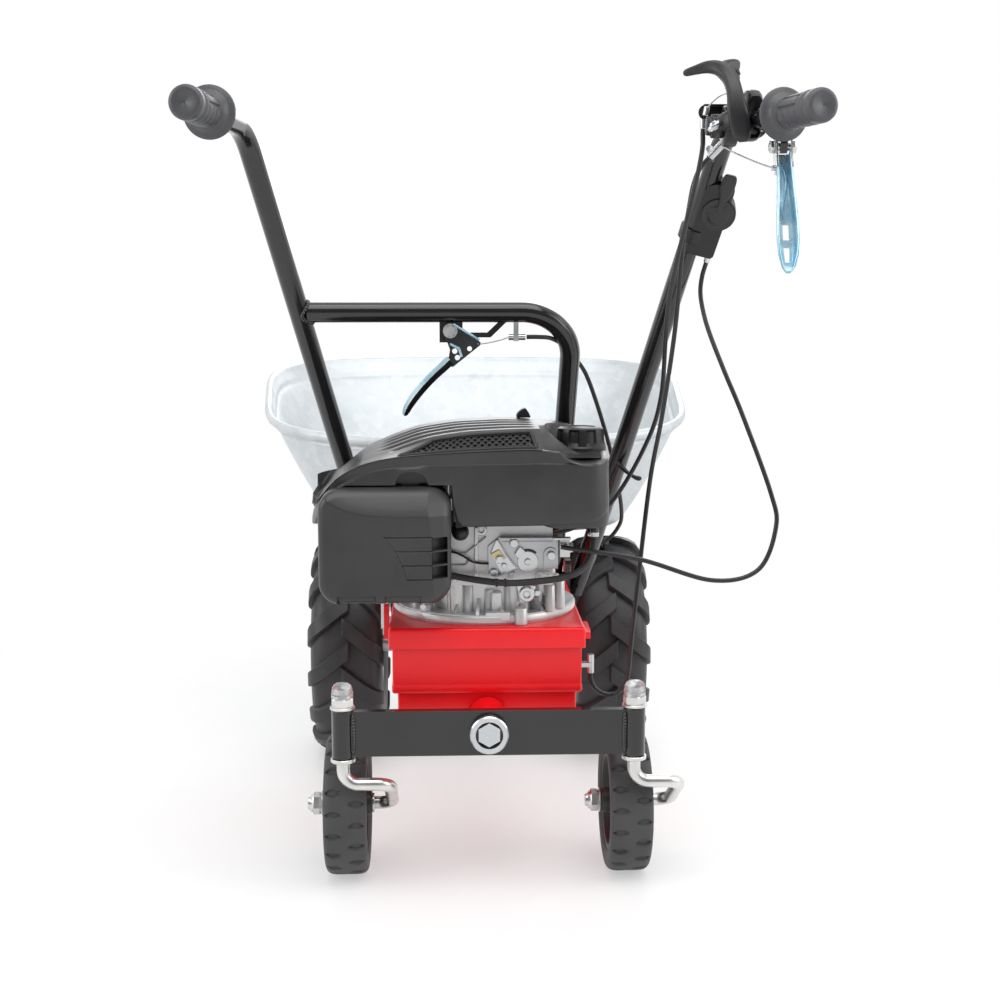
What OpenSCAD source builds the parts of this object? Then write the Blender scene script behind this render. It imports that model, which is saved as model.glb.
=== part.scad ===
// Motorised wheelbarrow with a vertical shaft engine, two lugged drive wheels,
// a rocking rear beam on two cranked casters and a tipping sheet tub.
// Millimetres. X to the right, Y forward, Z up, floor at Z = 0.

/* [Drive wheels] */
// Diameter of the drive tyres over their lugs
tyre_d = 320; // [300:1:340]
// Section width of the drive tyres
tyre_w = 104; // [96:1:110]
// Height of the tread lugs
lug_h = 9; // [6:0.5:11]
// Lugs on each half of a tread
lug_n = 14; // [10:1:16]
// Bead seat diameter of the rims
rim_d = 152; // [144:1:160]
// Distance between the centre planes of the drive tyres
track = 380; // [370:1:400]
// Diameter of the drive axle
axle_d = 25; // [20:1:28]

/* [Casters] */
// Diameter of the caster wheels
caster_d = 165; // [150:1:175]
// Width of the caster tyres
caster_w = 50; // [42:1:56]
// Diameter of the bent caster rods
rod_d = 15; // [12:0.5:17]
// Distance between the two swivel sleeves
sleeve_span = 330; // [310:1:350]
// Height of the horizontal run of the caster rods
run_z = 132; // [126:1:138]
// Side offset of the caster rods
crank_x = 53; // [50:1:60]

/* [Rocking beam] */
// Distance of the beam behind the drive axle
beam_back = 572; // [560:1:585]
// Height of the beam pivot
pivot_z = 192; // [188:1:198]
// Height of the beam bar
beam_h = 52; // [48:1:52]
// Thickness of the beam bar
beam_t = 12; // [10:1:16]

/* [Gearbox] */
// Height of the top face of the engine plate
plate_z = 298; // [290:1:310]
// Width of the engine plate
plate_w = 230; // [222:1:240]
// Distance of the rear edge of the engine plate behind the drive axle
plate_back = 512; // [505:1:520]
// Depth of the folded skirt of the engine plate
skirt_h = 25; // [18:1:32]
// Sheet thickness of the plate and the box
sheet_t = 4; // [3:0.5:5]

/* [Handlebar] */
// Outside diameter of the handle tubes
tube_d = 25; // [22:0.5:27]
// Wall of the handle tubes
tube_wall = 2.5; // [2:0.5:4]
// Half width between the handle tubes at their bends
bend_x = 272; // [262:1:285]
// Height of the handle bends
bend_z = 868; // [850:1:890]
// Distance of the handle bends behind the drive axle
bend_back = 490; // [475:1:505]
// Mean half width at the ends of the grips
grip_x = 316.5; // [305:0.5:325]
// Side shift of both grip ends
grip_shift = 14.5; // [0:0.5:16]
// Length of a grip
grip_l = 84; // [76:1:90]
// Outside diameter of a grip
grip_d = 34; // [32:0.5:38]

/* [Engine] */
// Distance of the crankshaft behind the drive axle
crank_back = 385; // [378:1:390]
// Diameter of the crankcase flange
flange_d = 220; // [200:1:224]
// Height of the engine shroud above the engine plate
shroud_top = 234; // [228:1:242]
// Diameter of the fuel cap
cap_d = 60; // [50:1:64]
// Rows of holes in the starter screen
screen_rows = 5; // [3:1:6]

/* [Tub] */
// Half width of the tub rim at its front
tub_x = 350; // [340:1:365]
// Distance of the front rim ahead of the drive axle
tub_front = 530; // [515:1:550]
// Height of the underside of the tub floor
tub_z = 345; // [340:1:355]
// Sheet thickness of the tub
tub_t = 2; // [1.5:0.5:3]
// Diameter of the rolled rim
rim_roll = 13; // [10:1:16]

/* [Hidden] */
$fn = 48;
// clearance between pieces of one body, and between moving pieces
seat = 0.15;
run = 0.4;
pin_run = 0.08;

grip_back = bend_back + 205;
grip_z = bend_z + 2;
axle_z = tyre_d / 2;
box_x = plate_w / 2 - sheet_t - seat;
box_z = 219;
tray_z = 196;
plate_front = 70;
tr = tube_d / 2;

base = [plate_w / 2 + 18, -175, plate_z - 24];
bend = [bend_x, -bend_back, bend_z];
tip = [grip_x + grip_shift, -grip_back, grip_z];
left_tip = [grip_shift - grip_x, -grip_back, grip_z];
fall = (base - bend) / norm(base - bend);
back = (tip - bend) / norm(tip - bend);
bend_r = 55;
brace_at = bend + fall * 240;
brace_z = brace_at.z;
brace_y = brace_at.y;
brace_turn = 62;
brace_foot = [plate_w / 2 - 15, base.y - 12, plate_z];
leg_top = [plate_w / 2 - 6, brace_y, brace_z];
rear_reach = grip_back + (grip_d / 2 - 2) * sqrt(1 - pow(back.y, 2));
origin_y = (rear_reach - tub_front - rim_roll / 2 - 2) / 2;

crank_y = -crank_back;
air_y = crank_y - 112;
air_x = -116;
air_w = 149;
air_h = 130;
air_z = plate_z + 39;
air_deep = 62;
air_drop = 5;
air_pin = 2.5;

arm_x = 78;
arm_top = plate_z + 14;
hinge_y = 240;
hinge_z = plate_z + 6;
hinge_d = 12;
rail_z = tub_z - 22;
rear_rim = 175;

trail = sqrt(pow(caster_d / 2 + rod_d / 2 + 4, 2) - pow(run_z - caster_d / 2, 2));
stem_top = pivot_z + beam_h / 2 + 26;
sleeve_d = rod_d + 9.5;

stop_at = bend + back * 58;
drive_at = bend + back * 108;
drive_pin = [drive_at.x + 11, drive_at.y, drive_at.z - 31];
lever_pin = [-41, brace_y, brace_z - tr - 10];
drive_len = 140;
fill_x = 113;
pull_tilt = atan(0.75);

cable_d = 5.5;
ferrule = 10;
// where the control cables leave their housings
function turned(d, a, b) = let (th = acos(d.z), az = atan2(d.y, d.x), x = a * cos(th))
    [x * cos(az) - b * sin(az), x * sin(az) + b * cos(az), -a * sin(th)];
throttle_at = bend + fall * 57;
drum_z = 40;
throttle_out = throttle_at + fall * 96.2 + turned(fall, (tr + 14) * cos(-62), (tr + 14) * sin(-62));
stop_out = [stop_at.x - tr - 36, stop_at.y + 23.5, stop_at.z + 5.2];
drive_out = bend + [-22, -16, -34];
reverse_out = [52, brace_y, brace_z - 30];
arm_y = crank_y - 84;
arm_z = plate_z - 12;
forward_end = [plate_w / 2 + 7, arm_y - 28, arm_z - 46];
reverse_end = [-max(plate_w, flange_d + 10) / 2 - 7, arm_y + 62, arm_z + 26];
// hand chosen routes of the four control cables and of the fuel hose
drive_way = [drive_out, drive_out + [-12, 3.6, -13.2], [230, -496, 790], [225, -484, 735], [221, -462, 640],
    [209, -452, 540], [196, -448, 460],
    [180, -464, 330], [166, -488, 250], [140, -499, 221], forward_end + [0, 0, -12],
    forward_end + [0, 0, -0.3]];
stop_way = [stop_out + [0, 0, -ferrule], stop_out + [-3, 2, -50], [212, -478, 680], [212, -420, 560],
    [196, -380, 490], [160, -332, 415], [118, -318, 385], [80.5, -318, 376]];
throttle_way = [throttle_out + fall * (ferrule + 0.6), throttle_out + fall * (ferrule + 30), [268, -440, 630],
    [304, -457, 540], [336, -474, 450], [341, -484, 410], [318, -498, 362], [262, -508, 352],
    [176, -511, 378], [86, -500, 391]];
reverse_way = [reverse_out, reverse_out + [12, 0, 0], [96, -340, 618], [136, -308, 575], [170, -248, 480],
    [197, -190, 390], [166, -152, 334], [60, -156, 322], [-70, -195, 322], [-142, -270, 320],
    [-144, -350, 315], reverse_end + [0, 16, 0], reverse_end + [0, 0.6, 0]];
hose_way = [[128, crank_y - 85, plate_z + 112.2], [128, crank_y - 85, plate_z + 96], [122, -486, 370],
    [92, -502, 354], [20, -505, 350], [-30, -490, 354], [-64, -487, 362], [-88.4, -478.6, 370]];

gearbox_case();
engine_plate();
gear_housing();
pivot_bolt();
left_handle();
right_handle();
brace_tube();
handle_brackets();
frame_bolts();
grips();
reverse_bracket();
drive_bracket();
stop_clamp();
throttle_box();
cable_stops();
crankcase();
blower_housing();
starter_screen();
fuel_tank();
air_cleaner_base();
air_filter();
carburettor();
control_plate();
fuel_hose();
muffler();
drive_cable();
stop_cable();
throttle_cable();
reverse_cable();
tub_arms();
tub_pins();
tub_buffers();
drive_axle();
rims();
left_tyre();
right_tyre();
wheel_bolts();
rocker_beam();
pivot_bush();
left_crank();
right_crank();
left_caster_nuts();
right_caster_nuts();
left_caster_tyre();
right_caster_tyre();
left_caster_hub();
right_caster_hub();
tub();
tub_rails();
drive_lever();
reverse_lever();
stop_lever();
throttle_lever();
air_cleaner_cover();
fuel_cap();
starter_grip();
flywheel();
forward_arm();
reverse_arm();

// Colour names of the materials
function black() = [0.09, 0.09, 0.10];
function red() = [0.75, 0.05, 0.06];
function zinc() = [0.72, 0.74, 0.74];
function rubber() = [0.14, 0.14, 0.15];
function alloy() = [0.66, 0.67, 0.68];
function plastic() = [0.20, 0.20, 0.22];

// Moves the working frame, with the drive axle at Y = 0, to the box centre
module placed() {
    translate([0, origin_y, 0]) children();
}

// Sends children's Z axis along direction d from point p
module along(p, d) {
    u = d / norm(d);
    translate(p) rotate([0, acos(u.z), atan2(u.y, u.x)]) children();
}

// Round bar from p to q
module rod(p, q, r) {
    along(p, q - p) cylinder(r = r, h = norm(q - p));
}

// Round bar along X, or along Y, from one coordinate to another
module bar_x(x0, x1, y, z, r) {
    translate([x0, y, z]) rotate([0, 90, 0]) cylinder(r = r, h = x1 - x0);
}

module bar_y(x, y0, y1, z, r) {
    translate([x, y0, z]) rotate([-90, 0, 0]) cylinder(r = r, h = y1 - y0);
}

// Block between two corners
module block(a, b) {
    translate(a) cube(b - a);
}

// Round bar through points, with a bend of one radius at each corner
module bent_bar(pts, turn, r) {
    n = len(pts);
    dirs = [for (i = [0 : n - 2]) (pts[i + 1] - pts[i]) / norm(pts[i + 1] - pts[i])];
    sweep = [for (i = [0 : n - 1]) i == 0 || i == n - 1 ? 0 : acos(dirs[i - 1] * dirs[i])];
    cut = [for (i = [0 : n - 1]) turn * tan(sweep[i] / 2)];
    lap = [for (i = [0 : n - 1]) i == 0 || i == n - 1 ? 0 : 0.8];
    for (i = [0 : n - 2]) {
        rod(pts[i] + dirs[i] * (cut[i] - lap[i]), pts[i + 1] - dirs[i] * (cut[i + 1] - lap[i + 1]), r);
    }
    for (i = [1 : n - 2]) {
        a = dirs[i - 1];
        c = cross(a, dirs[i]);
        w = c / norm(c);
        m = cross(w, a);
        p = pts[i] - a * cut[i] + m * turn;
        multmatrix([[-m.x, a.x, w.x, p.x], [-m.y, a.y, w.y, p.y], [-m.z, a.z, w.z, p.z], [0, 0, 0, 1]])
            rotate_extrude(angle = sweep[i]) translate([turn, 0]) circle(r = r + 0.05);
    }
}

// Point of a smooth curve through the points of a route
function curve(p, i, t) = let (n = len(p), a = p[max(i - 1, 0)], b = p[i], c = p[i + 1],
    d = p[min(i + 2, n - 1)])
    0.5 * (2 * b + (c - a) * t + (2 * a - 5 * b + 4 * c - d) * t * t + (3 * b - a - 3 * c + d) * t * t * t);
function smooth(p) = concat([for (i = [0 : len(p) - 2]) for (t = [0, 0.5]) curve(p, i, t)],
    [p[len(p) - 1]]);
function heading(p, i) = let (d = p[min(i + 1, len(p) - 1)] - p[max(i - 1, 0)]) d / norm(d);
function side_of(d) = let (c = cross(d, [1, 0, 0.2])) c / norm(c);

// Eight sided tube swept along a route
module swept(way, r) {
    p = smooth(way);
    n = len(p);
    m = 8;
    rings = [for (i = [0 : n - 1]) let (d = heading(p, i), u = side_of(d), v = cross(d, u))
        for (k = [0 : m - 1]) p[i] + r * (cos(360 * k / m) * u + sin(360 * k / m) * v)];
    walls = [for (i = [0 : n - 2]) for (k = [0 : m - 1])
        each [[i * m + k, i * m + (k + 1) % m, (i + 1) * m + (k + 1) % m],
        [i * m + k, (i + 1) * m + (k + 1) % m, (i + 1) * m + k]]];
    ends = [[for (k = [0 : m - 1]) m - 1 - k], [for (k = [0 : m - 1]) (n - 1) * m + k]];
    faces = [for (f = concat(walls, ends)) [for (j = [len(f) - 1 : -1 : 0]) f[j]]];
    polyhedron(points = rings, faces = faces, convexity = 8);
}

// Rounded rectangle as one outline
function rounded(w, h, r) = [for (q = [0 : 3]) for (a = [0 : 15 : 90])
    [(q == 0 || q == 3 ? w / 2 - r : r - w / 2) + r * cos(90 * q + a),
     (q < 2 ? h / 2 - r : r - h / 2) + r * sin(90 * q + a)]];

// Hexagon head or nut standing on Z = 0
module hexagon(flats, h) {
    linear_extrude(h) polygon([for (a = [30 : 60 : 330]) flats / sqrt(3) * [cos(a), sin(a)]]);
}

// Welded box under the engine with the lower tray and the stub of the beam pivot
module gearbox_case() {
    lip = 6;
    color(red()) placed() difference() {
        union() {
            difference() {
                block([-box_x, 1 - plate_back + sheet_t, box_z],
                    [box_x, plate_front - sheet_t - seat, plate_z - sheet_t]);
                block([-box_x + sheet_t, 1 + 2 * sheet_t - plate_back, box_z + sheet_t],
                    [box_x - sheet_t, plate_front - 2 * sheet_t, plate_z]);
            }
            block([-box_x + lip, lip - plate_back + sheet_t, tray_z],
                [box_x - lip, -plate_back + 110, box_z]);
            bar_y(0, -beam_back + beam_t / 2 + 6, -plate_back + 60, pivot_z, 22);
            bar_y(0, -beam_back - 2, -plate_back + 60, pivot_z, 12);
        }
        bar_y(0, -beam_back - 3, -beam_back + 40, pivot_z, 8 + pin_run);
        for (s = [-1, 1]) {
            bar_x(s * box_x - 10, s * box_x + 10, arm_y, arm_z, 6 + pin_run);
            for (p = bracket_holes()) bar_x(s * box_x - 10, s * box_x + 10, p.x, p.y, 4.2);
        }
        wheel_room();
    }
}

// Room for the drive wheels beside the box and the plate
module wheel_room() {
    gap = 9;
    for (s = [-1, 1]) translate([s * (track / 2 - tyre_w / 2 - gap), 0, axle_z]) rotate([0, s * 90, 0])
        cylinder(r = tyre_d / 2 + gap, h = tyre_w + 2 * gap);
}

function bracket_holes() = [for (y = [-34, 34]) [base.y + y, plate_z - skirt_h - 12]];
function engine_holes() = let (r = flange_d / 2 - 8) [for (a = [45 : 90 : 315])
    [r * cos(a), crank_y + r * sin(a)]];

// Folded cover tray that carries the engine
module engine_plate() {
    h = plate_w / 2;
    color(red()) placed() difference() {
        block([-h, -plate_back, plate_z - skirt_h], [h, plate_front, plate_z]);
        block([-h + sheet_t, -plate_back + sheet_t, plate_z - skirt_h - 1],
            [h - sheet_t, plate_front - sheet_t, plate_z - sheet_t]);
        for (p = engine_holes()) translate([p.x, p.y, plate_z - 10]) cylinder(r = 4.2, h = 20);
        for (s = [-1, 1]) for (y = [-90, 30]) {
            translate([s * arm_x, y, plate_z - 10]) cylinder(r = 4.2, h = 20);
        }
        bar_x(-200, 200, arm_y, arm_z, 6 + pin_run);
        wheel_room();
    }
}

// Cast reduction housing below the box with the two axle tubes
module gear_housing() {
    color(black()) placed() difference() {
        union() {
            bar_x(-56, 56, 0, axle_z, box_z - axle_z);
            block([-56, -105, axle_z - 30], [56, 0, box_z]);
            bar_x(-track / 2 + tyre_w / 2 + 12, track / 2 - tyre_w / 2 - 12, 0, axle_z, axle_d / 2 + 9);
            for (x = [-36, 0, 36]) bar_x(x - 2, x + 2, 0, axle_z, box_z - axle_z + 3);
            block([-56, -105, axle_z + 20], [56, 60, box_z]);
        }
        bar_x(-track, track, 0, axle_z, axle_d / 2 + pin_run);
        block([-200, -200, box_z], [200, 200, box_z + 60]);
    }
}

// Hexagon bolt and washer that hold the beam on its stub
module pivot_bolt() {
    y = -beam_back - 2;
    color(zinc()) placed() {
        difference() {
            bar_y(0, y - 3 - seat, y - seat, pivot_z, 14.5);
            bar_y(0, y - 5, y + 1, pivot_z, 8 + pin_run);
        }
        translate([0, y - 3 - 2 * seat, pivot_z]) rotate([90, 0, 0]) hexagon(24, 9);
        bar_y(0, y - 3 - 2 * seat, y + 36, pivot_z, 8);
    }
}

// End of a grip, and the direction of its tube
function grip_end(s) = s > 0 ? tip : left_tip;
function grip_way(s) = let (d = grip_end(s) - [s * bend.x, bend.y, bend.z]) d / norm(d);

// One handle tube from its base, through its bend, into the grip
module handle(s) {
    low = [s * fall.x, fall.y, fall.z];
    top = [s * bend.x, bend.y, bend.z];
    high = grip_way(s);
    way = [[s * base.x, base.y, base.z], top, grip_end(s) - high * 6];
    difference() {
        bent_bar(way, bend_r, tr);
        bent_bar([way[0] + low, way[1], way[2] - high * 4], bend_r, tr - tube_wall);
        bar_x(s * base.x - 40, s * base.x + 40, base.y - fall.y * 34, base.z - fall.z * 34, 4 + pin_run);
    }
}

module left_handle() {
    color(black()) placed() handle(-1);
}

module right_handle() {
    color(black()) placed() handle(1);
}

// Cross tube from the left handle, bent down to a foot on the engine plate
module brace_tube() {
    left = [-brace_at.x, brace_y, brace_z];
    way = [left, leg_top, brace_foot + [0, 0, -20]];
    color(black()) placed() difference() {
        bent_bar(way, brace_turn, tr);
        bent_bar(way, brace_turn, tr - tube_wall);
        rod([-base.x, base.y, base.z], [-bend.x, bend.y, bend.z], tr + seat);
        block([0, -400, 0], [200, 100, plate_z]);
    }
}

// Cheek plates that join the handle tubes to the box
module handle_brackets() {
    color(black()) placed() for (s = [-1, 1]) difference() {
        union() {
            translate([s * (plate_w / 2 + 3.5), base.y, plate_z - skirt_h - 12]) rotate([0, 90, 0])
                linear_extrude(7, center = true) polygon(rounded(30, 98, 10));
            translate([s * (plate_w / 2 + 3.5), base.y - 15, base.z + 18]) rotate([0, 90, 0])
                linear_extrude(7, center = true) polygon(rounded(70, 40, 10));
            for (p = bracket_holes()) {
                translate([s * (plate_w / 2 - sheet_t - seat), p.x, p.y]) rotate([0, s * 90, 0])
                    cylinder(r = 9, h = sheet_t + seat);
            }
        }
        rod([s * base.x, base.y, base.z] + [s * fall.x, fall.y, fall.z] * 30,
            [s * bend.x, bend.y, bend.z], tr + seat);
        bar_x(s * base.x - 40, s * base.x + 40, base.y - fall.y * 34, base.z - fall.z * 34, 4 + pin_run);
        for (p = bracket_holes()) bar_x(s * box_x - 30, s * box_x + 30, p.x, p.y, 4 + pin_run);
    }
}

// Screw with a hexagon head and a washer face, head outwards along Z
module screw(d, l, h = 5) {
    translate([0, 0, -l]) cylinder(d = d, h = l);
    cylinder(d = 2.2 * d, h = 1.2);
    translate([0, 0, 1.2]) hexagon(1.6 * d, h);
}

// Bolts of the engine, the handle tubes, the brackets and the tub arms
module frame_bolts() {
    color(zinc()) placed() {
        for (p = engine_holes()) translate([p.x, p.y, plate_z + 11]) screw(8, 20);
        for (s = [-1, 1]) {
            for (p = bracket_holes()) {
                translate([s * (plate_w / 2 + 7), p.x, p.y]) rotate([0, s * 90, 0]) screw(8, 20);
            }
            for (y = [-90, 30]) translate([s * arm_x, y, arm_top]) screw(8, 24, 4);
        }
    }
}

// Two ribbed rubber grips with round flanges
module grips() {
    rib = 7;
    n = floor((grip_l - 26) / rib);
    g = grip_d / 2;
    body = [for (i = [0 : n - 1]) for (k = [0 : 1]) [g - (k == 0 ? 1.2 : 0), 9 + rib * i + rib * k / 2]];
    shape = concat([[tr + seat, 0], [g + 11, 0], [g + 11, 4], [g + 3, 6]], body, [[g + 1, grip_l - 10],
        [g + 1, grip_l - 3], [g - 2, grip_l], [0, grip_l], [0, grip_l - 5], [tr + seat, grip_l - 5]]);
    color(rubber()) placed() for (s = [-1, 1]) {
        along(grip_end(s) - grip_way(s) * grip_l, grip_way(s)) rotate_extrude() polygon(shape);
    }
}

// Flat bar bracket and guard below the cross tube for the reverse lever
module reverse_bracket() {
    z = brace_z - tr;
    color(black()) placed() difference() {
        translate([0, brace_y + 3, 0]) rotate([90, 0, 0]) linear_extrude(6) polygon([[-54, z + 5],
            [-54, z - 24], [-30, z - 24], [-24, z - 18], [8, z - 18], [32, z + 5], [22, z + 5], [4, z - 12],
            [-26, z - 12], [-26, z + 5]]);
        bar_x(-100, 60, brace_y, brace_z, tr + seat);
        bar_y(lever_pin.x, brace_y - 20, brace_y + 20, lever_pin.z, 4 + pin_run);
    }
}

// Bell crank lever of the reverse drive with its pivot bolt
module reverse_lever() {
    x = lever_pin.x;
    z = lever_pin.z;
    y = brace_y - 3 - run;
    color(zinc()) placed() {
        translate([0, y, 0]) rotate([90, 0, 0]) linear_extrude(7) polygon([[x - 9, z + 4], [x - 2, z + 9],
            [x + 8, z + 6], [x + 30, z - 8], [x + 32, z - 15], [x + 22, z - 21], [x + 6, z - 34],
            [x - 14, z - 58], [x - 38, z - 84], [x - 56, z - 100], [x - 62, z - 95], [x - 46, z - 70],
            [x - 26, z - 40], [x - 14, z - 16]]);
        translate([x, y - 7, z]) rotate([90, 0, 0]) hexagon(13, 6);
        bar_y(x, y - 1, brace_y + 3 + run, z, 4);
        translate([x, brace_y + 3 + run, z]) rotate([-90, 0, 0]) hexagon(13, 6);
    }
}

// Band round the right grip tube with the tab of the drive lever
module drive_bracket() {
    color(black()) placed() difference() {
        union() {
            along(drive_at - back * 6, back) cylinder(r = tr + 4, h = 14);
            translate([drive_pin.x - 4, drive_at.y, drive_at.z]) rotate([0, 90, 0]) linear_extrude(8)
                polygon([[0, -6], [28, -8], [38, -5], [38, 5], [28, 8], [0, 6]]);
        }
        rod(bend, tip, tr + seat);
        bar_x(drive_pin.x - 20, drive_pin.x + 20, drive_pin.y, drive_pin.z, 4 + pin_run);
    }
}

// Leaf outline of the drive lever from behind, moved inwards by o
function leaf_half(o) = [for (p = [[8, 8], [-15, 7.5], [-34, 8], [-60, 9], [-86, 10.8], [-103, 11.2],
    [20 - drive_len, 10], [6 - drive_len, 6.5], [-drive_len, 2]]) [max(p.y - o, 0.3), p.x]];
function leaf(o) = let (h = leaf_half(o)) concat(h, [for (i = [len(h) - 1 : -1 : 0]) [-h[i].x, h[i].y]]);

// Pressed channel lever of the drive clutch, hung from its tab
module drive_lever() {
    wall = 2.2;
    top = 8;
    color(zinc()) placed() translate(drive_pin) rotate([72, 0, 0]) {
        difference() {
            intersection() {
                translate([-15, 0, 0]) rotate([90, 0, 90]) linear_extrude(30) polygon([[7, 6], [-20, 9],
                    [-60, 12], [-110, 10], [6 - drive_len, 4], [-drive_len, -3], [-110, -6], [-60, -6],
                    [-20, -9], [2, -7], [7.5, -2]]);
                translate([0, 0, -20]) linear_extrude(40) polygon(leaf(0));
            }
            intersection() {
                translate([-15, 0, 0]) rotate([90, 0, 90]) linear_extrude(30) polygon([[30, 30],
                    [-drive_len - 30, 30], [-drive_len - 30, 0.5], [-110, -3.5], [-60, -3.5], [-20, -6],
                    [-12, -14], [30, -14]]);
                translate([0, 0, -20]) linear_extrude(60) polygon(concat([[top - wall, 40]], leaf(wall),
                    [[wall - top, 40]]));
            }
            for (y = [-103, -128]) translate([-3, y, -20]) cube([6, 17, 40]);
        }
        bar_x(-top - 5, top + 5, 0, 0, 4);
        for (s = [-1, 1]) translate([s * top, 0, 0]) rotate([0, s * 90, 0]) hexagon(13, 5);
    }
}

// Plastic clamp of the stop lever with its pivot disc and the cable arm
module stop_clamp() {
    p = stop_at;
    x = p.x - tr - 6;
    color(plastic()) placed() difference() {
        union() {
            along(p - back * 12, back) cylinder(r = tr + 6, h = 22);
            bar_x(x - 12, x + 3, p.y, p.z - 4, 22);
            along(p - back * 24, back) cylinder(r = tr + 4, h = 11);
            block([x - 26, p.y + 20, p.z + 5.5], [p.x - tr - 1, p.y + 27, p.z + 22]);
            bar_y(x - 26, p.y + 20, p.y + 27, p.z + 13.75, 8.25);
        }
        block([x - 30, p.y + 19, p.z + 9], [x - 8, p.y + 25, p.z + 18]);
        rod(bend, tip, tr + seat);
        bar_x(x - 40, x + 2, p.y, p.z - 4, 5 + pin_run);
    }
}

// Stop lever with its thumb finger, swinging beside the clamp
module stop_lever() {
    p = stop_at;
    x = p.x - tr - 18 - run;
    color(plastic()) placed() {
        translate([x - 13, p.y, p.z - 4]) rotate([90, 0, 90]) linear_extrude(13) polygon([[-12, -14],
            [2, -20], [14, -12], [17, 4], [18, 34], [25, 58], [24, 70], [12, 71], [4, 56], [-4, 28],
            [-15, 2]]);
        bar_x(x - 1, x + 14, p.y, p.z - 4, 5);
        translate([x - 13, p.y + 24, p.z - 4]) rotate([90, 0, 0]) linear_extrude(12)
            polygon([[0, 50], [-14, 51], [-33, 55], [-34, 58], [-33, 61], [-16, 68], [0, 71]]);
    }
}

// Working frame of the throttle, with Z along the right handle tube
module throttle_frame() {
    along(throttle_at, fall) rotate([0, 0, -62]) children();
}

// Moulded throttle housing strapped to the right handle tube
module throttle_box() {
    color(plastic()) placed() throttle_frame() difference() {
        union() {
            block([tr - 3, -14, 0], [tr + 18, 14, 96]);
            translate([tr + 7, 14, drum_z]) rotate([90, 0, 0]) cylinder(r = 21, h = 28);
            translate([0, 0, 66]) cylinder(r = tr + 4, h = 16);
        }
        translate([0, 0, -100]) cylinder(r = tr + seat, h = 300);
        translate([tr + 7, 30, drum_z]) rotate([90, 0, 0]) cylinder(r = 5 + pin_run, h = 44);
        translate([tr + 14, 0, 80]) cylinder(r = 3, h = 30);
    }
}

// Throttle lever on the outer face of its housing
module throttle_lever() {
    color(plastic()) placed() throttle_frame() translate([tr + 7, 14 + run, drum_z]) rotate([-90, 0, 0]) {
        cylinder(r = 13, h = 5);
        translate([0, 0, -20]) cylinder(r = 5, h = 21);
        linear_extrude(5) polygon([[-6, 0], [-5, 40], [-8, 52], [8, 52], [5, 40], [6, 0]]);
    }
}

// Threaded ends, ferrules and angle brackets of the control cables
module cable_stops() {
    d = drive_out;
    low = forward_end;
    left = reverse_end;
    post = bend + fall * 50;
    color(zinc()) placed() {
        difference() {
            union() {
                along(d + (d - drive_way[1]) * 0.025, d - drive_way[1]) cylinder(r = 4.5, h = 20);
                rod(d + [0, 0, 10], post + [0, 0, 4], 4);
            }
            rod(base, bend, tr + seat);
        }
        translate(stop_out + [0, 0, 0.5 - ferrule]) cylinder(r = 4, h = ferrule - 0.5);
        along(throttle_out, fall) cylinder(r = 4, h = ferrule - 0.2);
        difference() {
            union() {
                bar_x(reverse_out.x - 22, reverse_out.x - 1.5, reverse_out.y, reverse_out.z, 4);
                block(reverse_out + [-16, -4, -5], reverse_out + [-10, 4, 30]);
            }
            bar_x(-100, 200, brace_y, brace_z, tr + seat);
        }
        translate(low + [0, 0, 0.2]) cylinder(r = 4, h = 22);
        block([box_x + seat, low.y - 6, low.z + 8], [low.x, low.y + 6, low.z + 13]);
        bar_y(left.x, left.y - 22, left.y - 0.2, left.z, 4);
        block([left.x - 5, left.y - 14, arm_z - 8], [-plate_w / 2 - seat, left.y - 9, arm_z + 6]);
        block([left.x - 5, left.y - 14, arm_z - 8], [left.x + 5, left.y - 9, left.z + 6]);
    }
}

// Cast crankcase with its flange, sump bosses, finned cylinder and plug
module crankcase() {
    z = plate_z;
    color(alloy()) placed() translate([0, crank_y, z]) difference() {
        union() {
            cylinder(r = flange_d / 2, h = 11);
            cylinder(r = flange_d / 2 - 24, h = 54);
            for (a = [22 : 45 : 337]) rotate([0, 0, a]) {
                translate([flange_d / 2 - 22, 0, 0]) cylinder(r = 9, h = 46);
            }
            block([-74, -92, 44], [78, 92, 116]);
            bar_x(-160, -70, 0, 78, 33);
            for (i = [0 : 6]) block([-152 + 11 * i, -44, 42], [-148 + 11 * i, 44, 116]);
            block([-172, -40, 44], [-158, 40, 112]);
            bar_x(-196, -170, 0, 78, 8);
            translate([0, 0, 110]) cylinder(r = 36, h = 14);
        }
        for (a = [45 : 90 : 315]) rotate([0, 0, a]) translate([flange_d / 2 - 8, 0, -1]) {
            cylinder(r = 4 + pin_run, h = 30);
            translate([0, 0, 12]) cylinder(r = 11, h = 30);
        }
        translate([0, 0, 84]) cylinder(r = 10 + pin_run, h = 60);
    }
}

// Finned flywheel on its stub in the crankcase
module flywheel() {
    color(alloy()) placed() translate([0, crank_y, plate_z + 124 + run]) {
        cylinder(r = 52, h = 14);
        translate([0, 0, -30]) cylinder(r = 10, h = 32);
        for (a = [0 : 30 : 330]) rotate([0, 0, a]) block([18, -1.5, 10], [51, 1.5, 40]);
        translate([0, 0, 10]) cylinder(r = 20, h = 26);
    }
}

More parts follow.
